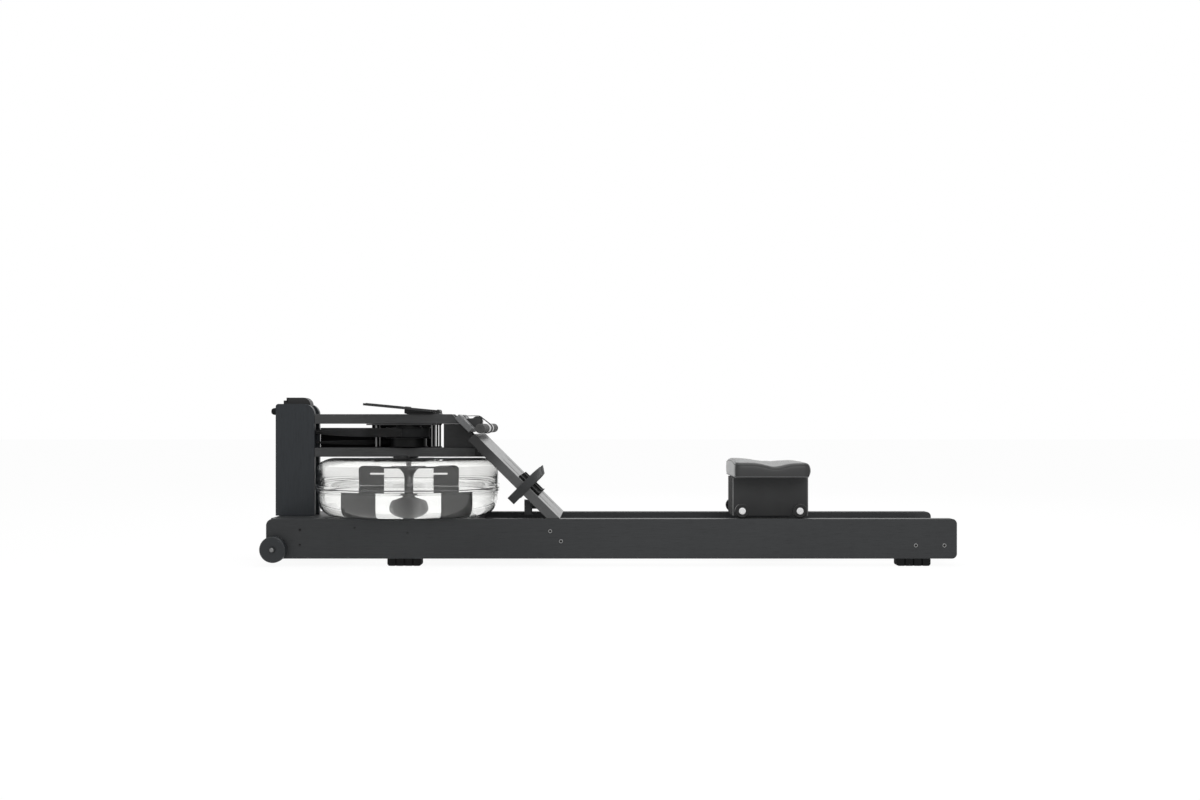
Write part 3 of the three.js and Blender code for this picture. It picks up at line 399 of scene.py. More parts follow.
# Transport wheels: hard rubber discs at the front end, which roll when the machine is tipped up.
# Each has a rounded tread with a shallow groove and turns on a bolt in the rail, under a small cap.
tyre_rubber = moulded("tyre_rubber", 32, 0.42, 0.0009, 0.00004, 3, 0.4)
bolt_end = metal("bolt_end", 120, 0.4)
wheel_at = Vector((-1.010, 0, 0.051))
for side, sign in (("left", -1), ("right", 1)):
    inner, outer = 0.176, 0.202
    tread = [(0.0055, inner + 0.0030), (0.018, inner + 0.0030), (0.021, inner), (0.034, inner),
             (0.0385, inner + 0.003), (0.0399, inner + 0.008), (0.0399, inner + 0.0115),
             (0.0391, inner + 0.0123), (0.0391, inner + 0.0137), (0.0399, inner + 0.0145),
             (0.0399, outer - 0.006), (0.0392, outer - 0.003), (0.0372, outer - 0.0007),
             (0.0345, outer), (0.0090, outer - 0.0004), (0.0075, outer - 0.001), (0.0055, outer - 0.001)]
    bm = turned([(r, y * sign) for r, y in softened(tread, 0.0008)], "y", wheel_at, 72)
    fitted(f"transport_wheel_{side}", bm, tyre_rubber)
    cap = softened([(0, 0), (0.0062, 0), (0.0064, 0.0012), (0.0048, 0.0026), (0.0018, 0.0030), (0, 0.0030)],
                   0.0005)
    lie = wheel_at + Vector((0, sign * (outer + 0.0055), 0))
    bm = turned([(r, h * sign) for r, h in cap], "y", lie, 32)
    added(f"wheel_bolt_cap_{side}", bm, bolt_end, "frame")


# Head column: two boards with a front panel between them, in the same stained wood, grain upright.
# An arched cover closes its top, and two rubber bumpers take the floor when it is stood on end.
column_wood = stained("column_wood", 41, "z", blue=4)
for node in ("column_board_left", "column_board_right", "column_front_panel"):
    eased(node, 0.0014, column_wood)
cover_plastic = moulded("cover_plastic", 36, 0.5, 0.0007, 0.00005)
eased("pulley_cover", 0.0012, cover_plastic)
bumper = softened([(0, 0.0155), (0.0070, 0.0145), (0.0105, 0.0090), (0.0112, 0.0020), (0.0108, 0), (0, 0)],
                  0.0024)
for side, sign in (("left", -1), ("right", 1)):
    bm = turned([(r, -h) for r, h in bumper], "x", (-1.0395, sign * 0.033, 0.4675), 32)
    added(f"bumper_{side}", bm, foot_rubber, "frame")
    screw = [(0, 0.0010), (0.0015, 0.0003), (0.0030, 0.0012), (0.0036, 0.0006), (0.0036, 0), (0, 0)]
    bm = turned([(r, h * sign) for r, h in screw], "y", (-1.0085, sign * 0.0225, 0.4995), 20)
    added(f"cover_screw_{side}", bm, black_screw, "frame")


# Arms, mitred at the rear, and the side panels between them: the same board stock, a little greyer. The
# panels are given a much darker tone, which is painted shade where they sit between the arms.
# Six slim posts tie the arms together, three on a side: two of them plated and one black.
arm_wood = stained("arm_wood", 61, "x", blue=0.6)
# Painted shade: the side panels' stain is much darker than the arms'.
panel_wood_shaded = stained("panel_wood_shaded", 23, "x", blue=1)
for side in ("left", "right"):
    eased("upper_arm_" + side, 0.0014, arm_wood)
    eased("lower_arm_" + side, 0.0014, arm_wood)
    eased("side_panel_" + side, 0.0008, panel_wood_shaded, 2)
plated = metal("plated_post", 120, 0.4)
black_post = metal("black_post", 38, 0.5, 0.6)
post_foot, post_head, post_radius = 0.3540, 0.4290, 0.0032
post_shape = softened([(0, post_foot), (post_radius, post_foot), (post_radius, post_head), (0, post_head)],
                      0.0003)
collar_shape = softened([(0.0033, 0), (0.0062, 0), (0.0056, 0.0035), (0.0033, 0.0040)], 0.0006)
for side, sign in (("left", -1), ("right", 1)):
    for number, (x, finish) in enumerate(((-0.727, plated), (-0.553, plated), (-0.536, black_post))):
        at = (x, sign * 0.033, 0)
        bm = turned(post_shape, "z", at, 24)
        added(f"arm_post_{side}_{number + 1}", bm, finish, "frame")
        for end, (height, up) in (("foot", (post_foot, 1)), ("head", (post_head, -1))):
            bm = turned([(r, h * up) for r, h in collar_shape], "z", (x, sign * 0.033, height), 24)
            added(f"post_collar_{end}_{side}_{number + 1}", bm, black_post, "frame")


# Plate over the drum and the guard behind the strap: powder-coated sheet and a moulded shield.
# The plate's powder coat has the fine orange peel of a thick paint.
def powder(name, level, roughness=0.45):
    coat = Finish(name, Metallic=0.0)
    coat.shader.inputs["Specular IOR Level"].default_value = 0.45
    peel = coat.noise(coat.place(), 0.0012, 2)
    cloud = coat.noise(coat.place(), 0.06, 2)
    coat.feed("Base Color", coat.mix(cloud, grey(level - 5, 0.5), grey(level + 5, 0.5)))
    coat.feed("Roughness", cloud * 0.1 + (roughness - 0.05))
    coat.bump(peel, 0.00005, 0.5)
    return coat


black_coat = powder("black_coat", 42)
eased("drum_top_plate", 0.0006, black_coat, 2)
eased("belt_guard", 0.0008, moulded("guard_plastic", 9, 0.7, specular=0.1), 2)


# Pulleys inside the column, with the bracket of the low one: glass-filled nylon wheels on steel
# pins, each with two cheeks that keep the strap in line.
pulley_nylon = moulded("pulley_nylon", 74, 0.5, 0.0005, 0.00004)
for node in ("strap_pulley", "recoil_pulley", "low_pulley"):
    low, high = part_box(node)
    radius, middle = (high.x - low.x) / 2, (low + high) / 2
    rim, wide, bore = radius - 0.0005, (high.y - low.y) / 2, 0.0055
    shape = [(bore, -wide), (bore + 0.004, -wide), (bore + 0.005, -wide + 0.001),
             (radius - 0.005, -wide + 0.001), (radius - 0.004, -wide), (radius, -wide),
             (radius, -wide + 0.002), (rim, -wide + 0.002)]
    shape += [(r, -y) for r, y in reversed(shape)]
    fitted(node, turned(softened(shape, 0.0003), "y", middle, 64), pulley_nylon)
eased("low_pulley_bracket", 0.0005, black_coat, 2)


# Water tank: two halves of clear polycarbonate, blown thin, clamped at a flange over a grey seal.
# The walls are glossy and pass the light.
def clear(name, tint, roughness, ior):
    wall = Finish(name, Base_Color=tint, Roughness=roughness, IOR=ior)
    wall.shader.inputs["Transmission Weight"].default_value = 1.0
    lamps_pass = wall.node("LightPath", output="Is Shadow Ray")
    film = wall.node("BsdfTransparent", None, {"Color": tint})
    whole = wall.node("MixShader", None, {0: lamps_pass, 1: Socket(wall, wall.shader.outputs[0]), 2: film})
    wall.tree.links.new(whole.link, wall.tree.nodes["Material Output"].inputs["Surface"])
    return wall


def bow(middle, height, wide, tall, start, end, steps=14):
    """A quarter of an oval about a middle radius and height, between two angles in degrees."""
    angles = [math.radians(start + (end - start) * i / steps) for i in range(steps + 1)]
    return [(middle + wide * math.cos(a), height + tall * math.sin(a)) for a in angles]


tank_at = (-0.6305, 0, 0)
tank_radius, wall, flange, split = 0.281, 0.004, 0.2855, 0.230
tank_steps = 128
polycarbonate = clear("polycarbonate", (0.87, 0.87, 0.862, 1), 0.015, 1.30)
crown, shoulder, top = 0.223, 0.030, 0.323
half_seal, lip = 0.0015, 0.009
upper = [(tank_radius - wall, split + half_seal), (flange, split + half_seal),
         (flange, split + half_seal + lip),
         (tank_radius + 0.0012, split + half_seal + lip), (tank_radius, split + half_seal + lip + 0.002)]
upper += bow(crown, top - shoulder, tank_radius - crown, shoulder, 0, 90)
upper += [(0.026, top), (0.026, top - wall)]
upper += bow(crown, top - shoulder, tank_radius - crown - wall, shoulder - wall, 90, 0)
fitted("tank_shell_upper", turned(upper, "z", tank_at, tank_steps), polycarbonate, weighted=False)
foot, base, rise = 0.235, 0.1423, 0.062
lower = [(0, base)] + bow(foot, base + rise, tank_radius - foot, rise, -90, 0)
lower += [(tank_radius, split - half_seal - lip - 0.002), (tank_radius + 0.0012, split - half_seal - lip),
          (flange, split - half_seal - lip), (flange, split - half_seal),
          (tank_radius - wall, split - half_seal)]
lower += bow(foot, base + rise, tank_radius - foot - wall, rise - wall, 0, -90) + [(0, base + wall)]
fitted("tank_shell_lower", turned(lower, "z", tank_at, tank_steps), polycarbonate, weighted=False)
seal_rubber = moulded("seal_rubber", 96, 0.6)
seal_in, seal_out = tank_radius - 0.0025, flange - 0.0015
seal = softened([(seal_in, split - 0.0012), (seal_out, split - 0.0012), (seal_out, split + 0.0012),
                 (seal_in, split + 0.0012)], 0.0004)
fitted("tank_seal", turned(seal, "z", tank_at, tank_steps), seal_rubber)


# Water: it stands still, just under the flange, and creeps up a hair at the wall.
# It lies just inside the wall.
water_level, gap = 0.2235, 0.0003
water = clear("water", (0.985, 0.99, 0.99, 1), 0.0, 1.33)
pool = [(0, base + wall + gap)]
pool += bow(foot, base + rise, tank_radius - foot - wall - gap, rise - wall - gap, -90, 0)
pool += [(tank_radius - wall - gap, water_level + 0.0012),
         (tank_radius - wall - 0.0018, water_level + 0.0003),
         (tank_radius - wall - 0.005, water_level), (0, water_level)]
water_piece = keep("water", turned(pool, "z", tank_at, tank_steps), water, "frame", weighted=False)


# Fill plug and bearing housing on top of the tank: a screw plug with a bar to turn it by, and the
# boss that carries the paddle's shaft, screwed down through its flange.
def block_on(bm, at, sizes, width, segments):
    """Adds a block with rounded edges to a mesh."""
    block = bmesh.ops.create_cube(bm, size=1, matrix=Matrix.Translation(at) @ Matrix.Diagonal((*sizes, 1)))
    edges = list({edge for vert in block["verts"] for edge in vert.link_edges})
    bmesh.ops.bevel(bm, geom=edges, offset=width, segments=segments, profile=0.5, affect="EDGES", material=-1)


top_plastic = moulded("top_plastic", 30, 0.48)
plug_y, housing_screw_ring = -0.1538, 0.0265
plug = [(0, top - 0.004), (0.0197, top - 0.004), (0.0197, top + 0.0003), (0.0240, top + 0.0003),
        (0.0240, top + 0.009),
        (0.0170, top + 0.009), (0.0160, top + 0.0065), (0, top + 0.0065)]
bm = turned(softened(plug, 0.0008), "z", (tank_at[0], plug_y, 0), 64)
block_on(bm, (tank_at[0], plug_y, top + 0.0071), (0.030, 0.006, 0.0036), 0.0008, 2)
fitted("tank_fill_plug", bm, top_plastic)
housing = [(0.0085, top + 0.0003), (0.030, top + 0.0003), (0.030, top + 0.0025), (0.0235, top + 0.0032),
           (0.022, top + 0.006), (0.0213, 0.354), (0.0195, 0.356), (0.0120, 0.356), (0.0110, 0.3535),
           (0.0085, 0.3535)]
fitted("bearing_housing", turned(softened(housing, 0.0006), "z", tank_at, 64), top_plastic)
for number in range(4):
    angle = math.pi / 4 + number * math.pi / 2
    at = (tank_at[0] + housing_screw_ring * math.cos(angle), housing_screw_ring * math.sin(angle),
          top + 0.0025)
    bm = turned(softened([(0, 0), (0.0026, 0), (0.0024, 0.0014), (0, 0.0017)], 0.0004), "z", at, 16)
    added(f"housing_screw_{number + 1}", bm, black_screw, "frame")


# Paddle: one moulding with a flared hub and two slotted blades, pressed on a steel shaft.
# The plastic is smoke grey and slightly glossy. An arm at the top carries each blade.
paddle_plastic = moulded("paddle_plastic", 74, 0.38, 0.0008, 0.00003, 0, 0.5)
hub = [(0, 0.150), (0.018, 0.150), (0.0260, 0.1640), (0.0380, 0.1760), (0.0500, 0.1838), (0.0520, 0.1850),
       (0.0500, 0.1862), (0.0380, 0.1935), (0.0280, 0.2020), (0.0190, 0.2110), (0.0146, 0.2180),
       (0.0140, 0.2240), (0.0140, 0.2500), (0.0170, 0.2680), (0.0260, 0.2850), (0.0400, 0.2970),
       (0.0550, 0.3030), (0.0550, 0.3060), (0.0080, 0.3060), (0.0080, 0.4295), (0.0074, 0.4300), (0, 0.4300)]
rotor = turned(hub, "z", tank_at, 64)


def join(whole, part):
    """Adds a second mesh to the first."""
    loose = bpy.data.meshes.new("part")
    part.to_mesh(loose)
    part.free()
    whole.from_mesh(loose)


def solid_plate(outline, thickness):
    """A flat plate from an outline in X and Z, made thick to both sides of the middle plane."""
    bm = bmesh.new()
    face = bm.faces.new([bm.verts.new((x, -thickness / 2, z)) for x, z in outline])
    grown = bmesh.ops.extrude_face_region(bm, geom=[face])
    far = [item for item in grown["geom"] if isinstance(item, bmesh.types.BMVert)]
    bmesh.ops.translate(bm, verts=far, vec=(0, thickness, 0))
    bmesh.ops.recalc_face_normals(bm, faces=bm.faces)
    return bm


def corner(x, z, radius, start, steps=8):
    angles = [math.radians(start + 90 * i / steps) for i in range(steps + 1)]
    return [(x + radius * math.cos(a), z + radius * math.sin(a)) for a in angles]


inner, outer, low, high, soft = 0.078, 0.158, 0.160, 0.306, 0.020
slot_high, slot_low, slot_end, blade_thickness = 0.271, 0.263, 0.121, 0.005
blade_shape = corner(outer - soft, high - soft, soft, 0) + corner(inner + soft, high - soft, soft, 90)
blade_shape += [(inner, slot_high), (slot_end, slot_high), (slot_end + 0.002, (slot_high + slot_low) / 2)]
blade_shape += [(slot_end, slot_low), (inner, slot_low)]
blade_shape += corner(inner + soft, low + soft, soft, 180) + corner(outer - soft, low + soft, soft, 270)
for number in range(2):
    blade = solid_plate(blade_shape, blade_thickness)
    ease(blade, 0.0009, 2, 60)
    block_on(blade, (0.079, 0, 0.296), (0.118, 0.012, 0.010), 0.002, 3)
    place = Matrix.Translation(tank_at) @ Matrix.Rotation(number * math.pi, 4, "Z")
    bmesh.ops.transform(blade, matrix=place, verts=blade.verts)
    join(rotor, blade)
fitted("paddle", rotor, paddle_plastic)


# Strap drum: a moulded reel with two cheeks and a spool below it, keyed to the paddle's shaft.
# Six screws hold its upper cheek. The strap on it is laid with the other straps.
drum_plastic = moulded("drum_plastic", 14, 0.35, 0.0009, 0.00003, 0.5, 0.12)
core, edge, drum_screw_ring, drum_screw_z = 0.042, 0.071, 0.052, 0.4177
reel = [(0.0083, 0.3568), (0.060, 0.3568), (0.060, 0.3588), (0.0562, 0.3588), (0.0562, 0.383), (edge, 0.383),
        (edge, 0.385), (core, 0.385), (core, 0.417), (edge, 0.417), (edge, 0.419), (0.062, 0.419),
        (0.060, 0.4176), (0.044, 0.4176), (0.042, 0.419), (0.039, 0.419), (0.039, 0.423), (0.0083, 0.423)]
fitted("strap_drum", turned(softened(reel, 0.0004), "z", tank_at, 96), drum_plastic)
for number in range(6):
    angle = number * math.pi / 3
    at = (tank_at[0] + drum_screw_ring * math.cos(angle), drum_screw_ring * math.sin(angle), drum_screw_z)
    bm = turned(softened([(0, 0), (0.0033, 0), (0.0031, 0.0011), (0, 0.0013)], 0.0004), "z", at, 16)
    added(f"drum_screw_{number + 1}", bm, black_screw, "drum")


# Straps: flat black polyester webbing. Its weave runs along it, so each strap is a grid laid along
# its path, and the weave follows the grid's own map, counted in metres.
def woven(name, level, pitch=0.0016, blue=1):
    cloth = Finish(name, Roughness=0.82)
    cloth.shader.inputs["Specular IOR Level"].default_value = 0.3
    cloth.shader.inputs["Sheen Weight"].default_value = 0.15
    across = cloth.node("SeparateXYZ", None, {0: cloth.node("UVMap")})
    along = Socket(cloth, across.link.node.outputs["Y"])
    ribs = (across * (2 * math.pi / pitch)).sine()
    picks = (along * (2 * math.pi / pitch)).sine()
    twill = ((across + along) * (math.pi / pitch)).sine()
    height = ribs * 0.25 + picks * 0.2 + twill * 0.2 + 0.5
    fuzz = cloth.noise(cloth.place(), 0.0007, 2)
    cloth.feed("Base Color", cloth.mix(height * 0.6 + fuzz * 0.4, grey(level - 14, blue),
                                       grey(level + 14, blue)))
    cloth.bump(height + fuzz * 0.3, 0.00035, 0.8)
    return cloth


def laid_strap(name, path, across, width, thickness, finish, body, closed=False, rows=6):
    """A strap through a list of points; across gives the way over it at each one."""
    count = len(path)
    lengths = [0.0]
    for here, after in zip(path, path[1:]):
        lengths.append(lengths[-1] + (after - here).length)
    bm = bmesh.new()
    made = bmesh.ops.create_grid(bm, x_segments=rows, y_segments=count - 1, size=1, calc_uvs=False)
    marks = bm.loops.layers.uv.new("weave")
    order = {}
    for vert in made["verts"]:
        step = round((vert.co.y + 1) * (count - 1) / 2)
        side = vert.co.x / 2
        order[vert] = (side * width, lengths[step])
        along = (path[min(step + 1, count - 1)] - path[max(step - 1, 0)]).normalized()
        over = across[step] - along * across[step].dot(along)
        vert.co = path[step] + over.normalized() * side * width
    for face in bm.faces:
        for loop in face.loops:
            loop[marks].uv = order[loop.vert]
    if closed:
        bmesh.ops.remove_doubles(bm, verts=bm.verts, dist=1e-5)
    piece = keep(name, bm, finish, None, smooth=60, weighted=False)
    thick = piece.modifiers.new("thickness", "SOLIDIFY")
    thick.thickness = thickness
    thick.offset = 0
    if body:
        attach(piece, body)
    return piece


def smooth_path(points, per_metre=260, closed=False):
    """Points evenly set along a smooth line through the given ones."""
    last = len(points)
    made = []
    for i in range(last if closed else last - 1):
        p0, p1 = points[(i - 1) % last if closed else max(i - 1, 0)], points[i]
        p2 = points[(i + 1) % last]
        p3 = points[(i + 2) % last if closed else min(i + 2, last - 1)]
        steps = max(2, math.ceil((p2 - p1).length * per_metre))
        for k in range(steps):
            t = k / steps
            made.append(0.5 * (2 * p1 + (p2 - p0) * t + (2 * p0 - 5 * p1 + 4 * p2 - p3) * t ** 2
                               + (3 * p1 - p0 - 3 * p2 + p3) * t ** 3))
    made.append(points[0].copy() if closed else points[-1].copy())
    return made


strap_cloth = woven("strap_webbing", 36)
# Painted shade: the straps are darkened near the drum, where the drum's top plate shades them.
shaded_by_plate = apart(strap_cloth)[0].above(-0.785, -0.745)
overlay(strap_cloth, shaded_by_plate * (1 - apart(strap_cloth)[0].above(-0.56, -0.55)), grey(12, 0.5))
wound_cloth = woven("wound_webbing", 15)
wound_cloth.shader.inputs["Sheen Weight"].default_value = 0
strap_width, strap_line, strap_half = 0.028, 0.401, 0.001
turns = 12
coil = []
for i in range(turns):
    low_r, high_r = core + 0.0003 + i * 0.002, core + 0.0003 + (i + 0.86) * 0.002
    coil += [(high_r, strap_line + 0.014), ((low_r + high_r) / 2 + 0.001, strap_line + 0.0134)]
lower_half = [(r, 2 * strap_line - z) for r, z in coil]
coil = [(core + 0.0003, strap_line - 0.014)] + lower_half + list(reversed(coil))
coil.append((core + 0.0003, strap_line + 0.014))
fitted("strap_wound", turned(coil, "z", tank_at, 96), wound_cloth, weighted=False)

pulley_x, pulley_z, pulley_lead = -0.978, 0.425, 0.004
pulley_ring, wound_ring = 0.0215, 0.0675
roller_x, roller_z, roller_ring = -0.41363, 0.43622, 0.018
handle_x, handle_z, handle_ring = -0.383, 0.415, 0.0157


def twisted(start, ring, height, side, steps=48):
    """From the side of the drum to a pulley: upright at first, then turned flat on the way."""
    lean = ring / (tank_at[0] - pulley_x)
    end = Vector((tank_at[0] - ring * lean, side * ring * math.sqrt(1 - lean * lean), height))
    return [end.lerp(start, i / steps) for i in range(steps + 1)]


def untwisted(count, steps=48, upright=0.3):
    ways = []
    for i in range(count):
        share = min(max((i / steps - upright) / (1 - upright), 0), 1)
        ways.append(Vector((0, -math.sin(share * math.pi / 2), math.cos(share * math.pi / 2))))
    return ways


def round_wheel(x, z, ring, start, end, steps, y=0):
    angles = [start + (end - start) * i / steps for i in range(steps + 1)]
    return [Vector((x + ring * math.cos(a), y, z + ring * math.sin(a))) for a in angles]


def over_both(x1, z1, r1, x2, z2, r2):
    """The angle at which a strap leaves one wheel for the next, on their upper side."""
    return math.atan2(z2 - z1, x2 - x1) + math.acos((r1 - r2) / math.hypot(x2 - x1, z2 - z1))


rise = over_both(pulley_x, pulley_z, pulley_ring, roller_x, roller_z, roller_ring)
leave = Vector((pulley_x, pulley_lead, pulley_z - pulley_ring))
path = twisted(leave, wound_ring, strap_line, -1)
path += round_wheel(pulley_x, pulley_z, pulley_ring, 1.5 * math.pi, rise, 24, pulley_lead)[1:]
long_start, long_end = path[-1], round_wheel(roller_x, roller_z, roller_ring, rise, rise, 1)[0]
path += [long_start.lerp(long_end, i / 24) for i in range(1, 25)]
run = laid_strap("shown_strap_run", path, untwisted(len(path)), strap_width, 2 * strap_half, strap_cloth,
                 "frame")
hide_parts("strap_run")
recoil_ring, recoil_z, low_z, spool_ring, anchor_x = 0.0195, 0.350, 0.086, 0.0575, -0.5518
recoil_width = 0.014
path = twisted(Vector((pulley_x, 0, recoil_z + recoil_ring)), spool_ring, recoil_z + recoil_ring, 1)
path += round_wheel(pulley_x, recoil_z, recoil_ring, math.pi / 2, math.pi, 16)[1:]
down_from = path[-1]
path += [down_from.lerp(Vector((pulley_x - recoil_ring, 0, low_z)), i / 12) for i in range(1, 12)]
path += round_wheel(pulley_x, low_z, recoil_ring, math.pi, 1.5 * math.pi, 16)
path += [path[-1].lerp(Vector((anchor_x, 0, low_z - recoil_ring)), i / 24) for i in range(1, 25)]
recoil = laid_strap("shown_recoil_strap", path, untwisted(len(path)), recoil_width, 2 * strap_half,
                    strap_cloth, "frame")
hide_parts("recoil_strap")


# Handle rest plank across the mitred arm ends, with two dark screws in its face and the notch that
# the strap passes, and the guide roller that leads the strap over it on a steel pin.
plank_wood = stained("plank_wood", 108, "x", -math.pi / 4, 1, 0.4)
eased("handle_rest_board", 0.0022, plank_wood, 4)
eased("roller_bracket", 0.0006, black_coat, 2)
plank_at = Vector((-0.446, 0, 0.430))
plank_turn = Matrix.Translation(plank_at) @ Matrix.Rotation(math.pi / 4, 4, "Y")
for number, (along, y) in enumerate(((-0.017, -0.080), (0.019, -0.080), (-0.017, 0.080), (0.019, 0.080))):
    bm = turned([(0, 0.0002), (0.0022, 0.0002), (0.0026, 0.0010), (0.0048, 0.0011), (0.0055, 0),
                 (0, -0.0001)], "z",
                (0, 0, 0), 24)
    bmesh.ops.transform(bm, matrix=plank_turn @ Matrix.Translation((along, y, 0.0095)), verts=bm.verts)
    added(f"plank_screw_{number + 1}", bm, black_screw, "frame")
roller_plastic = moulded("roller_plastic", 26, 0.35)
wide, bore = 0.018, 0.0035
barrel = [(bore, -wide), (0.0140, -wide), (0.0165, -wide + 0.0012), (0.0165, wide - 0.0012), (0.0140, wide),
          (bore, wide)]
bm = turned(softened(barrel, 0.0006), "y", (roller_x, 0, roller_z), 64)
fitted("guide_roller", bm, roller_plastic)


# Handle: a round bar, thicker and light in the middle, where the strap goes round it, and two foam
# rubber grips with fine rings and a rolled rim.
sleeve_satin = metal("sleeve_satin", 190, 0.42, 0.35)
bar_half, middle_half, core_r, grip_r = 0.240, 0.075, 0.011, 0.0144
core_end = bar_half - 0.0023
bar = softened([(0, -core_end), (core_r, -core_end), (core_r, -middle_half), (grip_r, -middle_half),
                (grip_r, middle_half), (core_r, middle_half), (core_r, core_end), (0, core_end)], 0.0008)
handle_at = (handle_x, 0, handle_z)
fitted("handle_bar", turned(bar, "y", handle_at, 64), sleeve_satin)
grip_foam = moulded("grip_foam", 63, 0.72, 0.0011, 0.0001, 0, 0.35)
rings = 22
for side, sign in (("left", -1), ("right", 1)):
    start, end = middle_half + 0.0003, bar_half
    shape = [(core_r + 0.0003, start), (grip_r - 0.0012, start), (grip_r, start + 0.0015),
             (grip_r, start + 0.008)]
    for i in range(rings):
        here = start + 0.011 + i * (end - start - 0.026) / (rings - 1)
        shape += [(grip_r, here), (grip_r - 0.0005, here + 0.0009), (grip_r, here + 0.0018)]
    shape += [(grip_r, end - 0.008), (grip_r, end - 0.0025), (grip_r - 0.0018, end - 0.0004),
              (grip_r - 0.005, end), (0.0055, end), (0.0050, end - 0.0006), (0, end - 0.0006),
              (0, end - 0.0019),
              (core_r + 0.0003, end - 0.0019)]
    bm = turned([(r, y * sign) for r, y in shape], "y", handle_at, 64)
    fitted(f"handle_grip_{side}", bm, grip_foam)
down = over_both(roller_x, roller_z, roller_ring, handle_x, handle_z, handle_ring)
nose = round_wheel(roller_x, roller_z, roller_ring, rise - 0.0003 / roller_ring, down, 12)
loop = round_wheel(handle_x, handle_z, handle_ring, down, down - 1.5 * math.pi, 40)
path = nose + [nose[-1].lerp(loop[0], i / 12) for i in range(1, 12)] + loop
pull = laid_strap("shown_strap_pull", path, [Vector((0, 1, 0))] * len(path), strap_width, 2 * strap_half,
                  strap_cloth, None)
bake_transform(pull)
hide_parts("strap_pull")


# Foot board: a slanted wooden board across the rails, with a slot for each heel rest's bolt and one
# for each strap. Its lacquer is glossier than the rails'. Two dark bands of painted shade run down it
# under the heel rests, standing in for the shade of grooves, and it is held by a bracket at the top.
# The side faces toward its upper end and its top end carry painted shade as well.
board_wood = stained("board_wood", 70, "x", math.radians(-44.8), 0.5, 0.36)
board_wood.shader.inputs["Coat Weight"].default_value = 0.35
board_wood.shader.inputs["Coat Roughness"].default_value = 0.22
board_slope = math.radians(44.8)
board_long, board_foot_x, board_foot_z, heel_off_middle = 0.364, -0.148, 0.1423, 0.085
board_at = Vector((board_foot_x - board_long * math.cos(board_slope), 0,
                   board_foot_z + board_long * math.sin(board_slope)))
on_board = Matrix.Translation(board_at) @ Matrix.Rotation(board_slope, 4, "Y")
x, y, z = apart(board_wood)
along = (x - board_at.x) * math.cos(board_slope) + (board_at.z - z) * math.sin(board_slope)
off_middle = y.size()
off_band = (off_middle - heel_off_middle).size()
# Painted shade: two dark bands under the heel rests, standing in for the shade of grooves.
groove_shade = (1 - off_band.above(0.026, 0.029)) * along.above(0.102, 0.104) * (1 - along.above(0.356, 0.358))
overlay(board_wood, groove_shade, grey(26, 0.5))
# Painted shade: the side faces are darkened toward the board's upper end.
overlay(board_wood, off_middle.above(0.1672, 0.1692) * (1 - along.above(0.05, 0.15)), grey(14, 0.5))
# Painted shade: the board's top end, under the handle, is darkened.
overlay(board_wood, z.above(0.3968, 0.3980), grey(20, 0.5))
eased("foot_board", 0.0012, board_wood, 2)
eased("foot_board_bracket", 0.0008, cover_plastic, 2)


# Heel rests: moulded plates that slide along the board's slots, with a cupped heel, raised ribs for
# grip and a thumb nut under the board.
heel_plastic = moulded("heel_plastic", 24, 0.75, 0.0007, 0.00006, 0.5, 0.1)
heel_start, heel_end, heel_half, nut_along = 0.185, 0.269, 0.0555, 0.227
for side, sign in (("left", -1), ("right", 1)):
    bm = bmesh.new()
    heel_middle = sign * heel_off_middle
    plate = bmesh.ops.create_grid(bm, x_segments=28, y_segments=36, size=1)
    for vert in plate["verts"]:
        u, v = vert.co.x, vert.co.y
        squeeze = 1 - 0.10 * max(0, -u) ** 3
        x = heel_start + (u + 1) / 2 * (heel_end - heel_start)
        y = heel_middle + v * heel_half * squeeze
        rise = 0.0030 + 0.0004 * math.cos(v * math.pi)
        rib = 0.0003 * max(0, math.sin((u + 1) * 5.5 * math.pi)) if abs(v) < 0.86 and -0.9 < u < 0.72 else 0
        cup = 0.0085 * max(0, (u - 0.70) / 0.30) ** 1.6
        side_lip = 0.004 * max(0, (abs(v) - 0.88) / 0.12) ** 1.5
        vert.co = (x, y, 0.0003 + rise + rib + max(cup, side_lip))
    edges = [edge for edge in bm.edges if edge.is_boundary]
    skirt = bmesh.ops.extrude_edge_only(bm, edges=edges)
    rim = [item for item in skirt["geom"] if isinstance(item, bmesh.types.BMVert)]
    for vert in rim:
        vert.co.z = 0.0003
    sole = [item for item in skirt["geom"] if isinstance(item, bmesh.types.BMEdge)]
    bmesh.ops.contextual_create(bm, geom=sole)
    bmesh.ops.recalc_face_normals(bm, faces=bm.faces)
    bmesh.ops.transform(bm, matrix=on_board, verts=bm.verts)
    fitted(f"heel_rest_{side}", bm, heel_plastic, 40, weighted=False)
    nut = [(0, -0.0285), (0.0035, -0.0285), (0.0035, 0.0028), (0, 0.0028)]
    bm = turned(nut, "z", (0, 0, 0), 20)
    head = [(0, -0.0285), (0.0088, -0.0285), (0.0090, -0.0310), (0.0072, -0.0331), (0, -0.0331)]
    extra = turned(softened(head, 0.0004), "z", (0, 0, 0), 24)
    join(bm, extra)
    bmesh.ops.transform(bm, matrix=on_board @ Matrix.Translation((nut_along, heel_middle, 0)), verts=bm.verts)
    added(f"heel_nut_{side}", bm, black_screw, f"heel_rest_{side}")


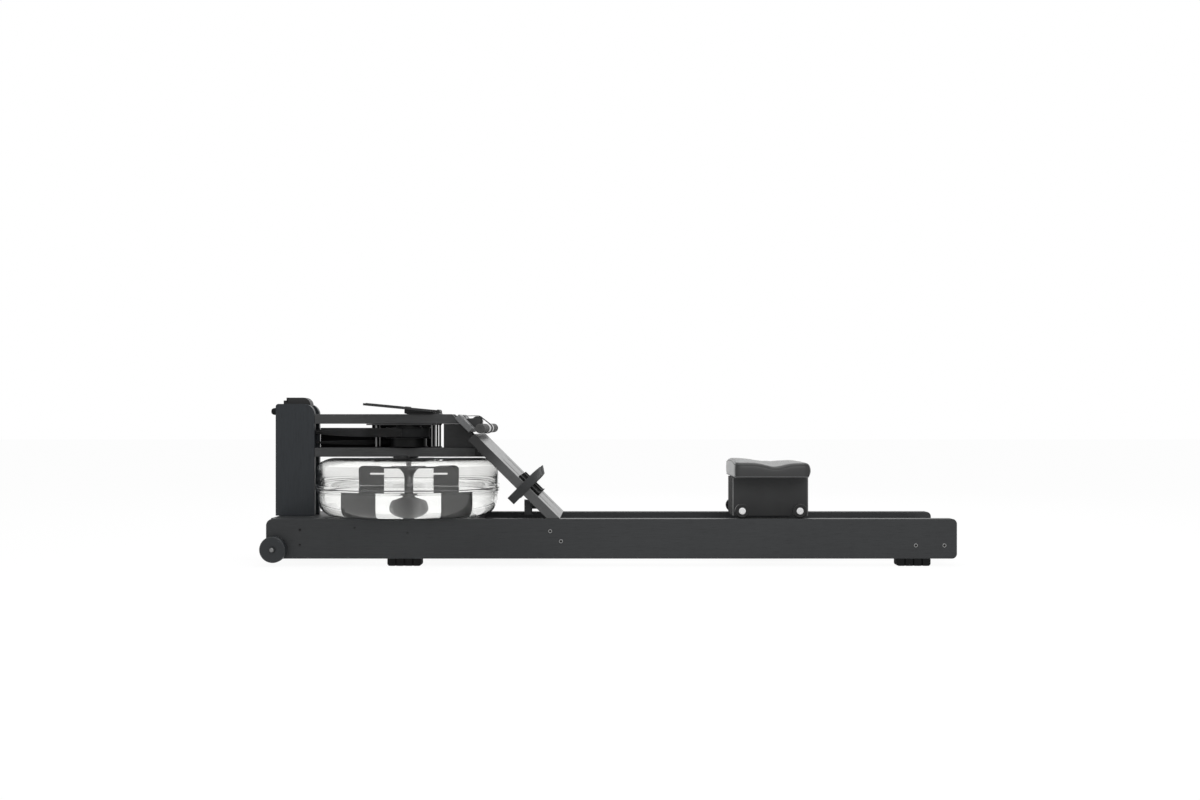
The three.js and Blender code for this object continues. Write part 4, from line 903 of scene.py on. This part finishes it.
# Foot straps: webbing that goes through the board, arches over the foot, turns round the board's
# edge and comes back under it. The free end hangs down behind the board.
foot_cloth = woven("foot_webbing", 46, 0.0017)
strap_along, edge_y, inner_y, arch_height, crest_lean = 0.221, 0.173, 0.020, 0.062, math.radians(34)
for side, sign in (("left", -1), ("right", 1)):
    span = edge_y - inner_y
    crest = ((0.02, 0.5), (0.28, 0.86), (0.6, 0.84), (0.87, 0.52))
    arch = [(inner_y + span * a, arch_height * up) for a, up in crest]
    turns_of_strap = [(inner_y, -0.036), (inner_y, -0.014), (inner_y, 0)] + arch
    turns_of_strap += [(edge_y, 0), (edge_y, -0.028), (edge_y - 0.003, -0.058), (edge_y - 0.010, -0.067),
                       (edge_y - 0.020, -0.058), (edge_y - 0.050, -0.036), (edge_y - 0.080, -0.036),
                       (inner_y + 0.020, -0.036)]
    flat = smooth_path([Vector((strap_along, sign * y, z)) for y, z in turns_of_strap], 200, closed=True)
    path = [on_board @ point for point in flat]
    leans = [crest_lean * min(1, max(0, point.z / 0.05)) ** 2 for point in flat]
    over = [on_board.to_3x3() @ Vector((math.cos(lean), 0, -math.sin(lean))) for lean in leans]
    piece = laid_strap(f"shown_foot_strap_{side}", path, over, 0.027, 0.0028, foot_cloth, "frame")
    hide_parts(f"foot_strap_{side}")
    hang = on_board @ Vector((0.248, sign * (edge_y - 0.030), -0.0315)) + Vector((0.007, 0, -0.004))
    tail = smooth_path([hang + Vector((0, sign * y, z)) for y, z in
                        ((0.004, 0.0), (0.001, -0.009), (-0.001, -0.021), (-0.0018, -0.033),
                         (-0.0012, -0.046))], 300)
    slants = [board_slope * max(0, 1 - i / len(tail) * 1.8) for i in range(len(tail))]
    over = [Vector((math.cos(slant), 0, -math.sin(slant))) for slant in slants]
    laid_strap(f"foot_strap_tail_{side}", tail, over, 0.024, 0.0026, foot_cloth, "frame")


# Monitor: a thin moulded case on a wedge bracket, hinged at its rear end. Its dark glass lies in a
# raised rim, beside two soft buttons; nothing is written on it.
case_plastic = moulded("case_plastic", 38, 0.42, 0.0006, 0.00004)
eased("monitor_case", 0.0009, case_plastic, 3)
bm = solid_of("monitor_bracket")
bracket_lean = 0.010
bracket_front = min(vert.co.x for vert in bm.verts)
bracket_foot = min(vert.co.z for vert in bm.verts)
for vert in bm.verts:
    if vert.co.x < bracket_front + 0.002 and vert.co.z < bracket_foot + 0.002:
        vert.co.x += bracket_lean
ease(bm, 0.0006, 2)
fitted("monitor_bracket", bm, case_plastic)
button_rubber = moulded("button_rubber", 92, 0.6)
for number in (1, 2):
    eased(f"monitor_button_{number}", 0.0008, button_rubber, 3)
tilt, hinge_at = math.radians(5.5), (-0.535, 0, 0.4678)
on_monitor = Matrix.Translation(hinge_at) @ Matrix.Rotation(tilt, 4, "Y")
screen_glass = Finish("screen_glass", Roughness=0.08)
sheen = screen_glass.noise(screen_glass.place(), 0.04, 2)
screen_glass.feed("Base Color", screen_glass.mix(sheen, (0.020, 0.024, 0.022, 1), (0.030, 0.036, 0.033, 1)))
screen_glass.feed("Roughness", sheen * 0.05 + 0.06)


def slab(x0, x1, half_width, z0, z1, corner, segments=6):
    """A flat block with rounded plan corners, in the monitor's own frame."""
    bm = bmesh.new()
    bmesh.ops.create_cube(bm, size=1, matrix=Matrix.Translation(((x0 + x1) / 2, 0, (z0 + z1) / 2))
                          @ Matrix.Diagonal((x1 - x0, 2 * half_width, z1 - z0, 1)))
    upright = [edge for edge in bm.edges if abs(edge.verts[0].co.z - edge.verts[1].co.z) > (z1 - z0) / 2]
    bmesh.ops.bevel(bm, geom=upright, offset=corner, segments=segments, profile=0.5, affect="EDGES",
                    material=-1)
    return bm


bm = slab(-0.218, -0.114, 0.064, 0.0035, 0.0041, 0.004)
bmesh.ops.transform(bm, matrix=on_monitor, verts=bm.verts)
added("monitor_screen", bm, screen_glass, "monitor")
bm = slab(-0.222, -0.110, 0.068, 0.0035, 0.0048, 0.006)
top_face = max(bm.faces, key=lambda face: face.calc_center_median().z)
bmesh.ops.inset_region(bm, faces=[top_face], thickness=0.0032, depth=0)
bmesh.ops.inset_region(bm, faces=[top_face], thickness=0.0006, depth=-0.0008)
ease(bm, 0.0003, 2)
bmesh.ops.transform(bm, matrix=on_monitor, verts=bm.verts)
added("monitor_rim", bm, case_plastic, "monitor")


# Seat carriage: a folded steel box on four wheels, closed at the top, where the cushion is screwed
# down. It is powder coated, with painted shade on its front face and painted highlights along its front
# and rear bent edges.
seat_coat = powder("seat_coat", 66, 0.72)
seat_coat.shader.inputs["Specular IOR Level"].default_value = 0.2
carriage_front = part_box("seat_carriage")[0].x
carriage_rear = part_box("seat_carriage")[1].x
x, y, z = apart(seat_coat)
# Painted shade: the carriage's front face is darkened to near black.
overlay(seat_coat, 1 - x.above(carriage_front + 0.0004, carriage_front + 0.0010), grey(10))
# Painted highlight: a light line along the bent edge just behind the front face.
overlay(seat_coat, x.above(carriage_front + 0.0004, carriage_front + 0.0010)
        * (1 - x.above(carriage_front + 0.0022, carriage_front + 0.0040)) * 0.8, grey(170))
# Painted highlight: a fainter light line along the rear bent edge.
overlay(seat_coat, x.above(carriage_rear - 0.0042, carriage_rear - 0.0026) * 0.5, grey(150))
eased("seat_carriage", 0.0024, seat_coat, 4)
seat_wheel_plastic = moulded("seat_wheel_plastic", 22, 0.4, 0.0006, 0.00003, 0.5, 0.3)
cap_white = moulded("cap_white", 226, 0.4, 0.0008, 0.00002, 0)
wheel_z, wheel_y = 0.1643, 0.150
for end, x in (("front", 0.4042), ("rear", 0.5792)):
    for side, sign in (("left", -1), ("right", 1)):
        body = f"seat_wheel_{end}_{side}"
        tread = [(0.0055, -0.007), (0.0100, -0.007), (0.0110, -0.0060), (0.0160, -0.0060), (0.0170, -0.007),
                 (0.0190, -0.007), (0.0213, -0.0062), (0.0220, -0.0046), (0.0220, 0.0046), (0.0213, 0.0062),
                 (0.0190, 0.007), (0.0170, 0.007),
                 (0.0160, 0.0060), (0.0110, 0.0060), (0.0100, 0.007), (0.0055, 0.007)]
        bm = turned(softened(tread, 0.0006), "y", (x, sign * wheel_y, wheel_z), 64)
        fitted(body, bm, seat_wheel_plastic)
        cap = [(0, 0), (0.0104, 0), (0.0104, 0.0016), (0.0094, 0.0028), (0.0060, 0.0031), (0.0050, 0.0026),
               (0.0022, 0.0026), (0.0014, 0.0031), (0, 0.0031)]
        lie = (x, sign * (wheel_y + 0.0073), wheel_z)
        bm = turned([(r, h * sign) for r, h in softened(cap, 0.0005)], "y", lie, 40)
        added(f"hub_cap_{end}_{side}", bm, cap_white, body)


# Seat cushion: moulded foam under stretched black vinyl, with a hump in front, a dip across it that is
# deepest at its sides, a lower rise behind, piping at its foot and sewn seams at its rim and corners.
vinyl = Finish("vinyl")
vinyl.shader.inputs["Specular IOR Level"].default_value = 0.4
vinyl.shader.inputs["Coat Weight"].default_value = 0.35
vinyl.shader.inputs["Coat Roughness"].default_value = 0.22
cells = vinyl.node("TexVoronoi", {"feature": "DISTANCE_TO_EDGE"}, {"Vector": vinyl.place(), "Scale": 420})
creases = vinyl.noise(vinyl.place(), 0.004, 5, 0.65)
stretch_tone = vinyl.noise(vinyl.place(), 0.07, 3)
vinyl.feed("Base Color", vinyl.mix(creases * 0.4 + stretch_tone * 0.6, grey(27, 0.5), grey(39, 0.5)))
vinyl.feed("Roughness", stretch_tone * 0.16 + creases * 0.12 + 0.30)
vinyl.bump(cells.above(0.0, 0.12) * 0.7 + creases * 0.6, 0.00016, 0.6)
seat_low, seat_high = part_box("seat_cushion")
seat_middle = (seat_low + seat_high) / 2
seat_a, seat_b = (seat_high.x - seat_low.x) / 2, (seat_high.y - seat_low.y) / 2
seat_foot, seat_edge, seat_crown, seat_dip, dip_lead = seat_low.z, 0.0475, 0.012, 0.0125, 0.011
x, y, z = apart(vinyl)
off_middle = y.size()
to_end = (x - seat_middle.x).size()
# Painted shade: the cushion's side faces are darkened toward both ends, at its corners.
overlay(vinyl, off_middle.above(0.139, 0.143) * to_end.above(0.094, 0.106) * 0.6, grey(12, 0.5))
# Painted light: the cushion's front face is lightened.
overlay(vinyl, (1 - x.above(seat_low.x + 0.004, seat_low.x + 0.010)) * 0.85, grey(142, 0.5))


def seat_reach(angle, inset=0.0):
    """How far the seat's plan reaches from its middle in one direction; its corners are round."""
    across, along = abs(math.cos(angle)) / (seat_a - inset), abs(math.sin(angle)) / (seat_b - inset)
    return (across ** 20 + along ** 20) ** -0.05


def seat_top(x, y):
    """The height of the seat's top at a distance from its middle."""
    u, v = x / seat_a, y / seat_b
    crown_here = seat_crown * (1 - v * v) * (1 - u) / 2
    dip_at = dip_lead - 0.018 * (1 - v * v)
    dip = seat_dip * (1 + v * v) / 2 * math.exp(-((x - dip_at) / (seat_a * 0.32)) ** 2)
    hollow = 0.002 * math.exp(-((abs(v) - 0.42) / 0.26) ** 2) * math.exp(-((u - 0.15) / 0.45) ** 2)
    return seat_foot + seat_edge + crown_here - dip - hollow


def seat_wall(share):
    """How far in from the widest line the side lies, from the foot at 0 to the rim at 1."""
    return 0.0028 + 0.0026 * (1 - share) ** 4 + 0.0030 * share ** 5


def seat_point(angle, inset, share, drop=0.0):
    reach = seat_reach(angle, inset)
    x, y = reach * math.cos(angle), reach * math.sin(angle)
    top_here = seat_top(x, y) - 0.0008 - drop
    x += 0.006 * math.sin(math.pi * share) * min(1, max(0, (x / seat_a - 0.8) / 0.15))
    return Vector((seat_middle.x + x, seat_middle.y + y, seat_foot + 0.0004 + share * (top_here - seat_foot)))


bm = bmesh.new()
around = 128
wall_shares = [0, 0.06, 0.16, 0.3, 0.45, 0.6, 0.74, 0.86, 0.94]
rings = [[seat_point(2 * math.pi * i / around, seat_wall(share), share, 0.0016) for i in range(around)]
         for share in wall_shares]
rings.append([seat_point(2 * math.pi * i / around, 0.0082, 1, 0.0010) for i in range(around)])
for inset in (0.0135, 0.022, 0.034, 0.048, 0.064, 0.082, 0.100):
    rings.append([seat_point(2 * math.pi * i / around, inset, 1) for i in range(around)])
made = [[bm.verts.new(point) for point in ring] for ring in rings]
for low_ring, high_ring in zip(made, made[1:]):
    for i in range(around):
        j = (i + 1) % around
        bm.faces.new((low_ring[i], low_ring[j], high_ring[j], high_ring[i]))
bm.faces.new(list(reversed(made[0])))
bm.faces.new(made[-1])
bmesh.ops.recalc_face_normals(bm, faces=bm.faces)


def sewn(at):
    """Whether a point of the skin lies on the foot, on the rim's seam or on a corner's seam."""
    x, y = at.x - seat_middle.x, at.y - seat_middle.y
    far = seat_reach(math.atan2(y, x)) - math.hypot(x, y)
    at_corner = abs(abs(x) / seat_a - abs(y) / seat_b) < 0.012 and far < 0.012
    return at.z < seat_foot + 0.006 or at_corner or (far < 0.0125 and at.z > seat_top(x, y) - 0.0075)


def swollen(bm, voxel, pressure, most):
    """The same closed form under a skin that is blown up between its seams, each point's way limited."""
    mesh = bpy.data.meshes.new("swelling")
    bm.to_mesh(mesh)
    bm.free()
    puffed = bpy.data.objects.new("swelling", mesh)
    scene.collection.objects.link(puffed)
    remesh = puffed.modifiers.new("voxels", "REMESH")
    remesh.mode = "VOXEL"
    remesh.voxel_size = voxel
    remesh.use_smooth_shade = True
    even = bpy.data.meshes.new_from_object(puffed.evaluated_get(bpy.context.evaluated_depsgraph_get()))
    puffed.modifiers.clear()
    puffed.data = even
    start = [vert.co.copy() for vert in even.vertices]
    held = puffed.vertex_groups.new(name="held")
    held.add([vert.index for vert in even.vertices if sewn(vert.co)], 1, "REPLACE")
    cloth = puffed.modifiers.new("skin", "CLOTH")
    cloth.settings.quality = 6
    cloth.settings.mass = 0.25
    cloth.settings.tension_stiffness = 25
    cloth.settings.compression_stiffness = 25
    cloth.settings.shear_stiffness = 10
    cloth.settings.bending_stiffness = 0.6
    cloth.settings.use_pressure = True
    cloth.settings.uniform_pressure_force = pressure
    cloth.settings.vertex_group_mass = "held"
    cloth.settings.effector_weights.gravity = 0
    cloth.collision_settings.use_collision = False
    last_frame = 20
    for step in range(1, last_frame + 1):
        scene.frame_set(step)
    blown = bpy.data.meshes.new_from_object(puffed.evaluated_get(bpy.context.evaluated_depsgraph_get()))
    scene.frame_set(1)
    bpy.data.objects.remove(puffed)
    result = bmesh.new()
    result.from_mesh(blown)
    for vert, home in zip(result.verts, start):
        way = vert.co - home
        if way.length > most:
            vert.co = home + way.normalized() * most
        vert.co.z = max(vert.co.z, seat_foot + 0.0003)
    return result


skin_voxel, skin_pressure, skin_way = 0.0045, 4.0, 0.0045
bm = swollen(bm, skin_voxel, skin_pressure, skin_way)
for turn in range(2):
    bmesh.ops.smooth_vert(bm, verts=bm.verts, factor=0.35, use_axis_x=True, use_axis_y=True, use_axis_z=False)
skin = BVHTree.FromBMesh(bm)
cushion = fitted("seat_cushion", bm, vinyl, 55, weighted=False)


def corded(name, points, radius, finish, closed=True, sides=8):
    """A round cord through points, laid on the cushion."""
    count = len(points)
    bm = bmesh.new()
    grid = bmesh.ops.create_grid(bm, x_segments=sides, y_segments=count if closed else count - 1, size=1)
    for vert in grid["verts"]:
        turn = (vert.co.x + 1) / 2 * sides
        step = round((vert.co.y + 1) / 2 * (count if closed else count - 1))
        here = points[step % count]
        after = points[(step + 1) % count] if closed else points[min(step + 1, count - 1)]
        before = points[(step - 1) % count] if closed else points[max(step - 1, 0)]
        along = (after - before).normalized()
        out = along.cross(Vector((0, 0, 1)) if abs(along.z) < 0.8 else Vector((0, 1, 0))).normalized()
        up = out.cross(along)
        angle = 2 * math.pi * (round(turn) % sides) / sides
        vert.co = here + out * radius * math.cos(angle) + up * radius * math.sin(angle)
    bmesh.ops.remove_doubles(bm, verts=bm.verts, dist=1e-6)
    if not closed:
        bmesh.ops.holes_fill(bm, edges=bm.edges, sides=0)
    bmesh.ops.recalc_face_normals(bm, faces=bm.faces)
    keep(name, bm, finish, "seat", 60, weighted=False)


def on_skin(angle, height, sink):
    """The point of the cushion's skin in one direction from its middle, at a height."""
    way = Vector((math.cos(angle), math.sin(angle), 0))
    far = Vector((seat_middle.x, seat_middle.y, height)) + way * 0.3
    hit = skin.ray_cast(far, -way)[0]
    return hit - way * sink


piping_vinyl = moulded("piping_vinyl", 66, 0.42, 0.0008, 0.00003, 0.5, 0.5)
seam_thread = moulded("seam_thread", 24, 0.6, 0.0005, 0.00004)
fine_turn = [2 * math.pi * i / 240 for i in range(240)]
corded("cushion_piping", [on_skin(a, seat_foot + 0.0045, 0.0006) for a in fine_turn], 0.0019, piping_vinyl)


def rim_height(angle):
    reach = seat_reach(angle, 0.003)
    return seat_top(reach * math.cos(angle), reach * math.sin(angle)) - 0.0085


corded("cushion_rim_seam", [on_skin(a, rim_height(a), 0.0003) for a in fine_turn], 0.0008, seam_thread)
corner_turn = math.atan2(seat_b, seat_a)
for number, angle in enumerate((corner_turn, math.pi - corner_turn, math.pi + corner_turn, -corner_turn)):
    rim_here = rim_height(angle)
    seam_foot = seat_foot + 0.006
    line = [on_skin(angle, seam_foot + (rim_here - seam_foot) * i / 16, 0.0003) for i in range(17)]
    corded(f"cushion_corner_seam_{number + 1}", line, 0.0008, seam_thread, closed=False)
